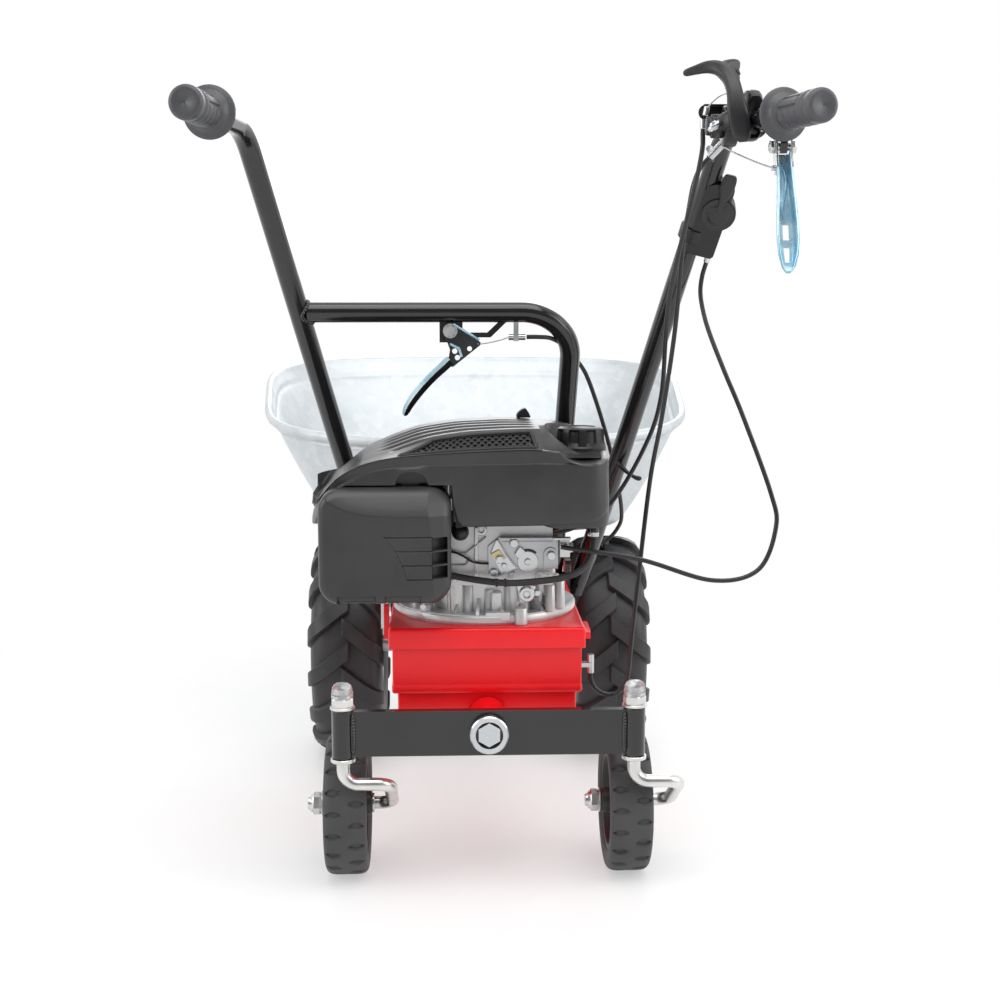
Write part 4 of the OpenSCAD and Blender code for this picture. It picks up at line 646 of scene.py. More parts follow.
# Engine block: a sand cast alloy crankcase on a wide bolted flange, its finned cylinder turned
# to the left, with the pressed muffler in front and the flywheel on the upright shaft.
CRANK_Y = -385.0
cast_alloy = coated("alloy", "cast_alloy", ((0.62, 0.62, 0.62), (0.76, 0.76, 0.76)), (0.34, 0.50), (260, 0.22),
                    metal=0.6)
baked_steel = coated("steel", "baked_steel", ((0.20, 0.19, 0.18), (0.30, 0.28, 0.26)), (0.44, 0.6), (300, 0.1),
                     drift=30, metal=0.8)
filter_paper = coated("paper", "filter_paper", ((0.52, 0.46, 0.34), (0.60, 0.54, 0.42)), (0.8, 0.9), (900, 0.1))
dress(cast_alloy, "crankcase", "carburettor", "flywheel")
dress(baked_steel, "muffler")
dress(filter_paper, "air_filter")

# Cowl: the moulded blower housing of satin grey plastic. Its rear wall runs on round the tank,
# a crease carries the slope of the screen, and the domed top has long grooves. The wall stops
# above the air cleaner, with an arch for the right latch.
COWL_BACK, COWL_FOOT = -537.0, 417.0
SCREEN_Y, SCREEN_HIGH = -498.0, 48.0
crease_line = np.array([(-206, 434), (-191, 453), (-172, 477), (-144, 492), (-121, 498), (-104, 501), (-65, 504),
                        (-20, 506.5), (36, 508.5), (62, 508.4), (74, 506), (140, 500)])
second_line = np.array([(-206, 428), (-191, 446), (-172, 468), (-144, 481), (-116, 487), (-76, 490), (-20, 491),
                        (62, 492), (140, 490)])
slope_top = np.array([(-206, 434), (-191, 453), (-172, 476), (-144, 491.5), (-121, 498.5), (-100, 505), (-86, 510.5),
                      (-60, 518), (-19, 524), (50, 527.5), (66, 527)])
ridge_line = np.array([(-206, 434), (-191, 455), (-171, 474), (-145, 496), (-109, 512), (-78, 523), (-36, 529.5),
                       (19, 532), (56, 531), (66, 528)])
back_line = np.array([(-206, -450), (-203, -477), (-196, -505), (-185, -525), (-170, -536), (-160, COWL_BACK),
                      (66, COWL_BACK)])


def ramp(value, start, end):
    """0 at the start, 1 at the end, straight between them and level beyond."""
    return np.clip((value - start) / (end - start), 0, 1)


def soft(line, x):
    """Height of a line through points at x, rounded by the mean of three nearby readings."""
    return sum(np.interp(x + d, line[:, 0], line[:, 1]) * w for d, w in ((-9, 0.25), (0, 0.5), (9, 0.25)))


def cowl_back(x):
    """Rear edge of the cowl's plan."""
    return np.interp(x, back_line[:, 0], back_line[:, 1])


def cowl_front(x):
    """Front edge of the cowl's plan: an arc round the cylinder end, then a straight slant to the tank."""
    arch = CRANK_Y + 122 * np.sqrt(np.clip(1 - ((x + 84) / 122.5) ** 2, 0, 1))
    return np.where(x < -43, arch, np.interp(x, [-43, 40, 66], [-270.2, -285, -318]))


def cowl_height(x, y):
    """Height of the top: the screen's slope from the crease, a groove behind it, the dome with its long
    grooves, and a round fall to the front. The place of the screen is sunk."""
    back = cowl_back(x)
    top, crease, ridge = soft(slope_top, x), soft(crease_line, x), soft(ridge_line, x)
    t = ramp(y, back, SCREEN_Y)
    slope = crease + (top - crease) * t
    dome = top + (ridge - top) * np.sin(ramp(y, SCREEN_Y, CRANK_Y) * np.pi / 2)
    f = ramp(y, CRANK_Y, cowl_front(x) + 1e-6)
    fall = (ridge - 462) * (1 - np.sqrt(np.clip(1 - f**2.6, 0, 1))) * (f > 0)
    gutter = 5 * ramp(x, -112, -92) * np.clip(1.5 - np.abs(y + 492) / 4, 0, 1)
    ribs = sum(2.6 * np.clip(1.6 - np.abs(y - middle) / 4.5, 0, 1) for middle in (-470, -449, -428, -407))
    ribs = ribs * ramp(x, -128, -110) * ramp(x, 60, 50) * (y > SCREEN_Y)
    up = t * SCREEN_HIGH
    sunk = (x > -104 + 42 * (up - 4) / 40) & (x < 57 - 0.15 * up) & (up > 6) & (up < 43)
    return np.where(y < SCREEN_Y, slope, dome) - fall - gutter - ribs - 6 * sunk


def cowl_top():
    """The top as one grid: x along the machine and y in shares between the two edges of the plan, with a wall hung
    from its rim. Behind, the wall is tucked in under the rear wall."""
    x = np.linspace(-205.5, 62, 110)[:, None]
    back = cowl_back(x)
    front = np.maximum(cowl_front(x), back + 60)
    middle = np.where(x > -150, SCREEN_Y, np.maximum(SCREEN_Y, back + 6))
    crown = np.maximum(CRANK_Y, middle + 20)
    slope, dome, fall = np.linspace(0, 1, 22), np.linspace(0.05, 1, 58), np.linspace(0.02, 1, 40) ** 0.8
    y = np.concatenate([back + (middle - back) * slope, middle + (crown - middle) * dome,
                        crown + (np.maximum(front, crown + 4) - crown) * fall], 1)
    top = np.stack([x + 0 * y, y, cowl_height(x, y)], -1)
    rim = np.concatenate([top[:, 0], top[-1, 1:], top[-2::-1, -1], top[0, -2:0:-1]])
    low = rim * [1, 1, 0] + [0, 0, COWL_FOOT + 1]
    low[:, 2] += 26 * ramp(rim[:, 0], -160, -190)
    behind = rim[:, 1] < COWL_BACK + 60
    low[behind, 2] = np.minimum(np.where(rim[behind, 0] < -38, 470, COWL_FOOT + 8), rim[behind, 2] - 1)
    towards = unit((np.array([-70, CRANK_Y, 0]) - rim) * [1, 1, 0])
    step = np.where(behind[:, None], rim - [0, 0, 3], low + [0, 0, 6])
    tuck = np.where(behind, 8.0, 1.5)[:, None]
    wall = [rim, step + tuck * towards, low + (tuck + 2.5) * towards, low + [0, 0, 2] + (tuck + 6.5) * towards]
    return [grid(top), grid(np.stack(wall), round_v=True)]


def rear_wall():
    """The rear wall as a grid from its foot to the crease, along a plan line that turns forward round both ends. Each
    row is (how far drawn in, height). Foot and crease are lines of height over x; a fine step runs above the air
    cleaner."""
    left = [(-160, COWL_BACK), (-170, -536), (-178, -532), (-185, -525), (-191, -515), (-196, -505), (-200, -492),
            (-203, -477), (-206, -450)]
    straight = np.concatenate([np.linspace(112, -20, 40), np.linspace(-22, -42, 24), np.linspace(-43, -150, 100)])
    plan = np.concatenate([[(140.5, -440), (140.5, -480)], arc((113.5, -510), 27, 0, -90, 9),
                           np.stack([straight, np.full(164, COWL_BACK)], -1), left])
    x, y = plan.T
    foot = np.interp(-x, [-142, -134, -127, -112, 22, 30, 34, 36.5, 38.5, 40.5],
                     [436, 430, 426, 422, 420.5, 421.5, 425, 432, 446, 468.5])
    latch_arch = 15 * (1 - np.clip(np.abs((x + 86) / 18.5), 0, 1) ** 3) ** 0.6
    foot = np.where(x < -40.5, 468.5 + latch_arch, foot)
    second = soft(second_line, x)
    scoop = 12 * np.sqrt(np.clip(1 - ((x - 113) / 29) ** 2, 0, 1)) * (y < -505)
    crease = soft(crease_line, x) - scoop
    foot = np.minimum(foot, second - 3) - 14 * ramp(y, COWL_BACK, COWL_BACK + 40) * (x < 0)
    low = x > -38
    lip = (12, 14, 1, 0), (3.4, 1.2, 0, 0), (0.9, 0.2, 2.6, 0.4), (0, 0, 6, 1.2)
    rows = [(np.where(low, a, b), foot + np.where(low, c, d)) for a, b, c, d in lip]
    rim = rows[-1][1]
    rows += [(2.2 * s**2, rim + (second - rim) * s) for s in (0.15, 0.3, 0.45, 0.6, 0.75, 0.9, 0.97)]
    rows += [(2.2, second), (3.2, second + 1), (1.4, crease - 1.2), (1.9, crease - 0.3), (3.2, crease + 0.1),
             (9.0, crease + 0.2)]
    run = unit(np.gradient(plan, axis=0))
    inner = np.stack([run[:, 1], -run[:, 0]], -1)
    inner[inner[:, 0] * (-40 - x) + inner[:, 1] * (CRANK_Y - y) < 0] *= -1
    return grid(np.stack([raised(plan + inner * np.reshape(d, (-1, 1)), z) for d, z in rows]))


satin_grey = coated("plastic", "satin_grey", ((0.024, 0.024, 0.026), (0.034, 0.034, 0.036)), (0.34, 0.44), (900, 0.05),
                    coat=0.08)
piece("blower_cowl", cowl_top() + [rear_wall()], satin_grey, replaces="blower_housing", smooth=32)

# Screen: a black moulded plate in the slope of the cowl, with staggered rows of round holes,
# each with a raised rim, and a thick frame round it.
def slope_point(p):
    """Screen coordinates (x, up the slope, out) to space: between the crease and the slope's top edge."""
    x, t, out = p[..., 0], p[..., 1] / SCREEN_HIGH, p[..., 2:]
    low, high = soft(crease_line, x), soft(slope_top, x)
    run = unit(np.stack([0 * x, SCREEN_Y - COWL_BACK + 0 * x, high - low], -1))
    normal = np.stack([0 * x, -run[..., 2], run[..., 1]], -1)
    return np.stack([x, COWL_BACK + (SCREEN_Y - COWL_BACK) * t, low + (high - low) * t], -1) + out * normal


def screen_tiles():
    """One tile with a rimmed hole: a rectangle and four rings down into the bore. Copies stand in staggered rows, and
    plain quads fill each row up to the slanted ends."""
    pitch, row_high, sides, sunk = 8.0, 7.0, 12, -1.2
    a = (np.arange(sides) + 0.5) * 2 * np.pi / sides
    ring = np.stack([np.cos(a), np.sin(a)], -1)
    box = ring / np.abs(ring).max(-1, keepdims=True) * [pitch / 2, row_high / 2]
    rims = (3.35, 0), (2.9, 0.7), (2.35, 0.5), (2.2, -2.5)
    tile = np.stack([raised(box, 0)] + [raised(ring * r, z) for r, z in rims])
    parts, middles = [], []
    for row in range(5):
        y = 10.5 + row_high * row
        edges = np.array([y - row_high / 2, y + row_high / 2])
        left, right = -104 + 42 * (edges - 5) / 40 + 2, 56 - 0.15 * edges
        x = 46.0 - pitch * (np.arange(20) + 0.5 * (row % 2))
        x = x[x - pitch / 2 > left.max() + 1]
        middles += [(middle, y, sunk) for middle in x]
        for near, far in ((np.full(2, x.min() - pitch / 2), left), (np.full(2, x.max() + pitch / 2), right)):
            strip = np.stack([raised(np.column_stack([end, edges]), sunk) for end in (near, far)])
            parts.append(grid(slope_point(strip)))
    placed = np.array(middles)[:, None] + tile.reshape(1, -1, 3)
    return parts + [copies(grid(tile, round_v=True), slope_point(placed))]


soft_black = coated("plastic", "soft_black", ((0.008, 0.008, 0.009), (0.014, 0.014, 0.015)), (0.34, 0.46), (900, 0.05))
frame_ring = bent([(-20, 6, 0), (55.4, 6, 0), (50.4, 43.6, 0), (-63, 43.6, 0), (-103.5, 6, 0), (-20, 6, 0)], 2.5,
                  6)[:-1]
frame_line = np.concatenate([np.linspace(a, b, 12, endpoint=False)
                             for a, b in zip(frame_ring, np.roll(frame_ring, -1, 0))])
frame_section = [(-2.2, -3), (-2.2, 0.2), (-1.4, 1.2), (1.4, 1.2), (2.2, 0.2), (2.2, -3)]
screen_frame = swept(slope_point(frame_line), frame_section, up=unit((0, -0.5, 0.86)), closed=True)
piece("starter_screen_plate", screen_tiles() + [screen_frame], soft_black, replaces="starter_screen", smooth=40)

# Fuel tank: a blow moulded grey tank that carries on the line of the cowl, with a dished deck
# round the filler neck, and its screw cap with square finger notches.
FILLER = np.array([113.0, -445.0])


def tank_body():
    """Rounded rectangles up the walls with a soft lower edge, and a deck drawn from the rim in to the neck's ring,
    lower at the back, so that the dish shows from behind."""
    middle = np.array([101.4, -447.0])
    ring = rounded(38.8, 88.0, 26, 13)
    ring = np.concatenate([np.linspace(p, q, 4, endpoint=False) for p, q in zip(ring, np.roll(ring, -1, 0))])
    from_neck = middle + ring - FILLER
    dip = 11 * ramp(-ring[:, 1], 55, 88) * np.sqrt(np.clip(1 - (from_neck[:, 0] / 30) ** 2, 0, 1))
    rows = ((7, 417, 0), (2.2, 418.6, 0), (0.5, 423, 0), (0, 430, 0), (0, 438, 0), (0.9, 440, 0), (0.9, 492, 1),
            (2, 496, 1), (4.5, 498, 1))
    walls = [raised(middle + ring - d * unit(ring), z - dished * dip) for d, z, dished in rows]
    neck = [raised(FILLER + r * unit(from_neck), z) for r, z in ((24.6, 500.6), (24, 501.6), (24, 507), (21, 507))]
    deck = [walls[-1] + (neck[0] - walls[-1]) * t for t in (0.25, 0.5, 0.75, 0.92)]
    return grid(np.stack(walls + deck + neck), round_v=True, caps=(True, True))


tank_stub = turned([(404, 4), (404, 5), (406, 5.6), (408, 4.8), (418, 4.8)], (128, -470, 0), UPWARDS, 24)
piece("fuel_tank_shell", [tank_body(), tank_stub], satin_grey, replaces="fuel_tank", smooth=38)


def cap_body():
    """Radius over height and angle: a short cone on a wide rim, cut by eight square notches with ribs between."""
    key = np.array([(498.4, 26.5), (498.4, 29.6), (499.2, 30.2), (503, 30.2), (504.2, 29.4), (505, 28.6), (509, 28.4),
                    (522, 27.4), (524.6, 26.6), (526, 24.6), (526.6, 22), (526.6, 17), (525.6, 16), (525.6, 0)])
    knot = np.arange(len(key))
    t = np.union1d(knot, [6.2, 6.4, 6.6, 6.8, 7.05, 7.2])
    high, r = np.interp(t, knot, key[:, 0])[:, None], np.interp(t, knot, key[:, 1])[:, None]
    a = np.linspace(0, 2 * np.pi, 192, endpoint=False)[None] + 0.12
    notch = ramp(np.abs((a * 8 / (2 * np.pi)) % 1 - 0.5), 0.30, 0.265)
    r = r - 3.2 * notch * ramp(high, 505, 506.2) * ramp(high, 523.4, 522) * (r > 25)
    points = np.stack([FILLER[0] + r * np.cos(a), FILLER[1] + r * np.sin(a), high + 0 * a], -1)
    return grid(points, round_v=True, caps=(True, False))


piece("filler_cap", [cap_body()], soft_black, "filler", "fuel_cap", smooth=30)

# Starter handle: a small moulded fin on a rope, seated where the shoulder carries the cowl's dome on
# to the tank. The rope comes out of the cowl.
fin_edge = [(39.4, 532), (39.5, 534.4), (40.6, 537.4), (43, 540), (46.4, 542.4), (48.6, 543.6), (50.2, 543.8),
            (51.8, 542.8), (54.6, 538.6), (56.8, 534), (56.9, 532)]
piece("starter_handle_fin", [upright(fin_edge, -372, -386)], soft_black, "starter", "starter_grip", smooth=40,
      bevel=1.6, segments=3)


def cowl_shoulder():
    """Right end of the cowl over (x, y): it carries the dome on behind the filler cap, falls off to the tank, and is
    sunk in a round well about the cap."""
    x, y = np.linspace(58, 132, 60)[:, None], np.linspace(-508, -322, 80)[None]
    dome = np.interp(y, [-508, -498, -470, -440, -385, -350, -330, -322], [512, 525, 527.6, 529, 530.6, 526, 514, 500])
    dome = dome - 0.0036 * np.maximum(x - 62, 0) ** 2
    rear = np.clip((y + 512 - 0.55 * (x - 58)) / 60 + (x < 61), 0, 1)
    well = ramp(np.hypot(x - FILLER[0], y - FILLER[1]), 33, 42)
    high = 496 + (dome - 496) * np.sqrt(rear * well * ramp(x, 132, 118))
    return grid(np.stack([x + 0 * y, y + 0 * x, high], -1))


piece("cowl_shoulder", [cowl_shoulder()], satin_grey, smooth=50)
wire("starter_rope", (42, -375, 527), (44, -378, 536), nylon, r=1.8, sag=0)

# Air cleaner: a black moulded back plate and a deep grey cover that hinges down. The cover's face is
# bevelled at the top and the right, with three louvre pockets and score lines that lead to them.
AIR_X, AIR_Z, AIR_W, AIR_H, AIR_BACK = -116.0, 402.0, 149.0, 130.0, -502.15
LOUVRES = (-35.5, -21.5), (-19.5, -5.5), (-3.5, 10.5)


def cover_shell():
    """Depth of the face over (x, z): a flat, less a bevel above a curved crease, a bevel right of a crease, a round
    edge, pockets, scores and hinge recesses. Rows narrow at the round corners."""
    corner, flat, edge_round = 24.0, 62.0, 9.0
    ends = np.ravel(LOUVRES)
    z = np.union1d(np.linspace(-65, 65, 156), np.concatenate([ends - 0.35, ends + 0.35]))[:, None]
    a = np.union1d(np.linspace(-1, 1, 190), np.array([52.5, 53.2, 69.5, 70.2]) / 74.5)[None]
    straight_x, straight_z = AIR_W / 2 - corner, AIR_H / 2 - corner
    x = a * (straight_x + np.sqrt(np.clip(corner**2 - np.clip(np.abs(z) - straight_z, 0, corner) ** 2, 0, None)))
    q = np.stack([np.abs(x) - straight_x, np.abs(z) + 0 * x - straight_z], -1)
    inside = np.clip(corner - np.linalg.norm(np.maximum(q, 0), axis=-1) - np.minimum(q.max(-1), 0), 0, None)
    crease = np.interp(x, [-75, -60, -42, -20, 0, 20, 75], [62, 50, 41, 36.5, 35, 34.6, 34.6])
    above = np.maximum(z - crease, 0)
    beside = np.maximum(x - np.interp(z + 0 * x, [-70, 2, 40], [54, 53, 48]), 0)
    pocket = sum((z > low) & (z < high) for low, high in LOUVRES) * ((x > 52.8) & (x < 70))
    bow = -8 + 34 * np.sqrt(np.clip((14 - z) / 54, 0, 1))
    scores = sum(np.clip(1 - np.abs(z - level) / 0.8, 0, 1)
                 for level in (11.4, -4.5, -20.5, -36.4)) * (x > bow) * (x < 54)
    curved = np.clip(1 - np.abs(x - bow) / 1.4, 0, 1) * ((z < 12) & (z > -37))
    recess = ((np.abs(x + 32) < 21) | (np.abs(x - 20) < 20)) * (z < -55.5)
    round_edge = edge_round * (1 - np.sqrt(np.clip(1 - (1 - np.clip(inside / edge_round, 0, 1)) ** 2, 0, 1)))
    depth = flat - 0.42 * above - 0.006 * above**2 - 0.55 * beside - round_edge
    depth = depth - 14 * pocket - 1.3 * scores - 1.2 * curved - 3.5 * recess
    face = np.stack([AIR_X + x, AIR_BACK - depth, AIR_Z + z + 0 * x], -1)
    rim = np.concatenate([face[0], face[1:, -1], face[-1, -2::-1], face[-2:0:-1, 0]])
    back = rim * [1, 0, 1] + [0, AIR_BACK, 0]
    middle = np.array([AIR_X, AIR_BACK, AIR_Z])
    lip = middle + (back - middle) * [0.94, 1, 0.93]
    wall = np.stack([rim, rim + (back - rim) * 0.5, back + [0, -1, 0], back, lip, lip + [0, -20, 0]])
    return [grid(face), grid(wall, round_v=True)]


latches = [stacked(11, 4, 2, [(0.8, 0), (0, 0.8), (0, 5.4), (1, 6)], (AIR_X + x, -520, AIR_Z + 65)) for x in (-38, 28)]
knuckles = [turned([(x, 2.6), (x, 4.4), (x + 10, 4.4), (x + 10, 2.6)], (AIR_X, -502, 332), SIDEWAYS, 24)
            for x in (-52, -18, 30)]
piece("air_cover_shell", cover_shell() + latches + knuckles, satin_grey, "air_door", "air_cleaner_cover", smooth=28)
dress(soft_black, "air_cleaner_base")

# Governor plate: a zinc plated pressing screwed to the back of the block, with a folded top edge,
# a lever plate, a dark strip that is painted shade inside its curved slot, a gold passivated tab and the
# clamp that ends the throttle cable. Links, a spring and the primer bulb stand beside it.
def screw(at, flats=8.0, high=4.0, washer=5.6):
    """A hexagon head on a round washer, standing out to the rear."""
    ring = turned([(0, 2), (0, washer), (1.2, washer - 0.4), (1.2, 2)], at, REARWARDS, 24)
    return [hexagon(flats, 1.2, 1.2 + high, at, REARWARDS), ring]


yellow_zinc = plated("yellow_zinc", ((0.66, 0.50, 0.24), (0.78, 0.64, 0.36)), (0.28, 0.42))
steel_grey = plated("steel_grey", ((0.42, 0.43, 0.45), (0.56, 0.57, 0.58)), (0.24, 0.38))
LEVER_PIN = (48.5, -479.6, 370.5)
main_plate = [(1.6, 389), (15.6, 400.3), (84, 400.3), (84.4, 366), (65.6, 361.6), (34.4, 361.8), (18.2, 354.3),
              (10.1, 351), (2, 356.5)]
ear_plate = np.concatenate([arc((75.4, 379), 8.4, 180, 0, 12), [(83.8, 362), (67, 362)]])
governor = [upright(main_plate, -477.4, -479.6),
            upright([(15.6, 400.6), (78, 400.4), (78, 398.8), (15.6, 399)], -477.4, -489),
            upright([(19, 395), (78, 395), (78, 393.6), (19, 393.6)], -479.4, -480.8), upright(ear_plate, -479.4, -482)]
piece("governor_plate", governor, steel_grey, replaces="control_plate", smooth=30, bevel=0.5)
swing_plate = [(11.3, 396.9), (14.4, 396.6), (23.6, 380.4), (37, 362.5), (18.1, 355.8), (8.6, 373.7), (4.6, 380.5)]
swing_rib = [(12.6, -484, 397), (22, -484, 380.6), (35.6, -484, 362.6), (18.4, -484, 355.8)]
swing = [upright(swing_plate, -482, -483.4), swept(swing_rib, circle(1.0, 8), up=(0, 1, 0)),
         turned([(0, 0), (0, 12), (0.8, 12.4), (1.4, 12), (1.4, 0)], LEVER_PIN, REARWARDS, 40),
         upright([(33, 380), (39, 389), (45, 384), (38.6, 374.6)], -481, -486)]
piece("governor_lever_plate", swing, bright_zinc, smooth=30, bevel=0.4)
# The curved slot is not cut: a thin black strip on the plate is painted shade where its opening would be.
slot_shade_ring = np.concatenate([arc(LEVER_PIN[::2], 15.2, 108, 46, 14), arc(LEVER_PIN[::2], 12.6, 46, 108, 14)])
piece("governor_slot_painted_shade", [upright(slot_shade_ring, -479.5, -480.1)], soft_black)
tab = upright([(4.8, 380.6), (14.4, 385.8), (22.6, 375.6), (13.2, 370.4)], -484.2, -486)
piece("governor_tab", [tab], yellow_zinc, smooth=30, bevel=0.4)
heads = [((32.1, -481, 392.8), 9, 4.4), ((15.3, -486, 374.5), 8, 3.4), ((20.7, -483.4, 366.2), 6, 2, 3.6),
         ((76, -482, 378), 9, 4), ((8.6, -479.6, 357.8), 8.4, 4.4), ((92, -489, 391), 6.4, 2.4, 4)]
screws = [part for head in heads for part in screw(*head)]
screws += [turned([(0, 0), (1.4, 4), (3, 4), (3.6, 3.2), (3.6, 0)], LEVER_PIN, REARWARDS, 28),
           upright([(86, 377), (97.6, 377), (97.6, 397.4), (86, 397.4)], -484, -489),
           upright([(78, 398), (98.4, 398), (98.4, 400), (78, 400)], -480, -492),
           upright([(95.4, 381), (101.4, 383), (101.4, 393), (95.4, 396)], -485, -487)]
piece("governor_screws", screws, bright_zinc, smooth=30, bevel=0.4)
links = [bent([(-46, -481, 381), (-24, -481, 380.8), (-1, -481, 399.6), (-1, -474, 400)], 4, 5),
         bent([(-46, -480, 366.4), (-25, -480, 366.3), (-20.6, -480, 372), (-20.6, -472, 380)], 3.5, 5)]
piece("governor_links", [swept(path, circle(1.1, 10), up=(0.1, 0.9, 0.4)) for path in links], silver_spray, smooth=60)
spring_line = curve([(-48, -482, 386), (-36, -483, 382), (-27.7, -484, 378.4), (-17, -484, 371.6), (-6, -482, 369),
                     (2.4, -480, 368.2)], 30)
piece("governor_spring", [swept(spring_line, circle(1.3, 10), up=(0, 1, 0.2))], nylon, smooth=60)
primer = turned([(0, 10), (3, 10), (4, 8.4), (8, 8), (11, 6.4), (13, 3.6), (13.8, 0)], (-31, -506, 410.6), REARWARDS,
                32)
piece("primer_bulb", [primer], soft_black, smooth=50)

# Casting details: the bosses, ribs and lugs that stand on the crankcase and its flange, cast in one
# with it, the round oil level sensor on its zinc bracket, and the bright rim of the flange.
def cast_post(x, y, low, high, r):
    """An upright round boss with a small draft and a soft top."""
    return turned([(low, r + 0.8), (high - 1.2, r), (high - 0.4, r - 0.5), (high, r - 1.6), (high, 0)], (x, y, 0),
                  UPWARDS, 28)


posts = zip(np.radians([-118, -104, -88, -72, -58, -44, -30]), (338, 344, 336, 348, 332, 346, 338))
bosses = [cast_post(86.6 * np.cos(t), CRANK_Y + 86.6 * np.sin(t), 308, high, 5.2) for t, high in posts]
web_edge = [(84, 0), (108, 0), (106, 4), (92, 14), (84, 18)]
bosses += [plate(web_edge, -2.2, 2.2, (0, CRANK_Y, 308.4), (np.cos(t), np.sin(t), 0), UPWARDS)
           for t in np.radians([-111, -96, -80, -65, -51, -37])]
bosses += [stacked(15, 7, 2.4, [(0.8, 302), (0, 303), (0, 311.6), (1, 312.6)], (13, -489, 0)),
           stacked(6, 9, 2, [(0.8, 306), (0, 307), (0, 333), (1, 334)], (11.6, -474, 0))]
bosses += [stacked(2.2, 3, 1, [(0.4, 344), (0, 345), (0, 411), (0.8, 412)], (x, -478.4, 0)) for x in (-66, -54, -12)]
bosses += [stacked(4, 4, 1.4, [(0.4, 344), (0, 345), (0, 356), (1.2, 358)], (x, -479, 0)) for x in (30, 62)]
bosses += [cast_post(*post) for post in ((40, -492, 298.2, 318, 7.2), (88, -448, 308, 344, 6.6),
                                         (76, -466, 308, 340, 5.4), (-70, -452, 308, 350, 6.4))]
bosses += [turned([(0, 7), (2.4, 6.6), (3, 5.6), (3, 3), (1, 2.6)], (x, -477, z), REARWARDS, 28)
           for x, z in ((-40, 352), (70, 352), (-6, 408))]
piece("crankcase_bosses", bosses, cast_alloy, smooth=34, bevel=0.5)
rim_rows = [(299.6, 109.6), (299.6, 111.4), (300.4, 112.2), (306.6, 112.2), (307.6, 111.4), (307.8, 109.6)]
piece("flange_rim", [turned(rim_rows, (0, CRANK_Y, 0), UPWARDS, 120)], cast_alloy, smooth=40)
sensor_rows = [(0, 3.4), (0, 8.4), (0.8, 9), (4, 9), (4.8, 8.2), (4.8, 4.4), (2, 3.6)]
sensor = [turned(sensor_rows, (47.4, -479, 331.4), REARWARDS, 36),
          upright([(36, 341), (58, 341), (58, 338), (50, 326), (44, 320), (40, 320)], -476, -478.6),
          upright([(50, 334), (63, 336), (63, 330), (50, 328)], -477, -479)] + screw((60, -478, 332.6), 6.4, 3, 4.4)
piece("sensor_fitting", sensor, bright_zinc, smooth=32, bevel=0.4)

# Control cables: four steel cables in black plastic sheaths. They leave the levers through
# zinc ferrules, hang in long loose bows behind the right tube and end at the engine and the
# two clutch arms. The fuel hose is soft black rubber, pushed over the tank and carburettor stubs.
def cord(name, points, diameter, finish, node, n):
    """A round sheath along a curve through given points, at even steps."""
    smooth_line = curve(points, 400)
    run = travel(smooth_line)
    step = np.linspace(0, run[-1], n)
    line = np.stack([np.interp(step, run, smooth_line[:, k]) for k in range(3)], -1)
    sheath_tube = swept(line, circle(diameter / 2, 14), up=(0.93, 0.31, 0.19))
    made = piece(name, [sheath_tube], finish, replaces=node, smooth=60)


sheath = coated("sheath", "cable_sheath", ((0.014, 0.014, 0.015), (0.022, 0.022, 0.023)), (0.30, 0.42), (900, 0.03))
hose_rubber = coated("rubber", "hose_rubber", ((0.020, 0.020, 0.021), (0.032, 0.032, 0.033)), (0.46, 0.60), (800, 0.05))
drive_route = [(250, -506, 834), (240, -503, 822.4), (233.6, -499, 804), (230, -494, 780), (225, -484, 735),
               (221, -462, 640), (209, -452, 540), (196, -448, 460), (180, -464, 330), (171.6, -481, 270),
               (168, -488, 239), (163.6, -491, 222.5), (152.1, -494, 214.1), (137.9, -496.4, 214.1),
               (126.4, -497, 222.5), (122, -497, 234), (122, -497, 239.7)]
stop_route = [(239.54, -522.24, 863.74), (236.54, -520.24, 823.74), (212, -478, 680), (212, -420, 560),
              (196, -380, 490), (160, -332, 415), (118, -318, 385), (80.5, -318, 376)]
throttle_route = [(264.59, -415.25, 720.05), (261.4, -407, 704), (260, -404, 684), (263, -411, 660), (269, -425, 634),
                  (284, -445, 590), (304, -457, 540), (336, -474, 450), (341, -484, 410), (318, -498, 362),
                  (262, -508, 352), (176, -511, 378), (86, -500, 391)]
reverse_route = [(52, -379.888, 630.36), (66, -379, 630.3), (82, -371, 628.6), (98, -354, 620), (114, -333, 604),
                 (136, -304, 572), (170, -248, 480), (193, -190, 392), (190, -166, 358), (166, -152, 334),
                 (120, -150, 324), (60, -156, 322), (-70, -195, 322), (-126, -246, 320.6), (-141, -290, 319),
                 (-140, -334, 316.6), (-131, -368, 314), (-123.6, -392, 312.4), (-122, -406.4, 312)]
hose_route = [(128, -470, 410.2), (127.9, -470.5, 397), (124.4, -477.6, 380), (115, -488, 366), (98, -498, 357),
              (66, -503.6, 352), (20, -505, 350), (-30, -490, 354), (-64, -487, 362), (-88.4, -478.6, 370)]
for word, route, n in (("drive", drive_route, 110), ("stop", stop_route, 110), ("throttle", throttle_route, 140),
                       ("reverse", reverse_route, 160)):
    cord(word + "_sheath", route, 5.5, sheath, word + "_cable", n)
cord("fuel_line", hose_route, 8.0, hose_rubber, "fuel_hose", 90)
dress(bright_zinc, "cable_stops")

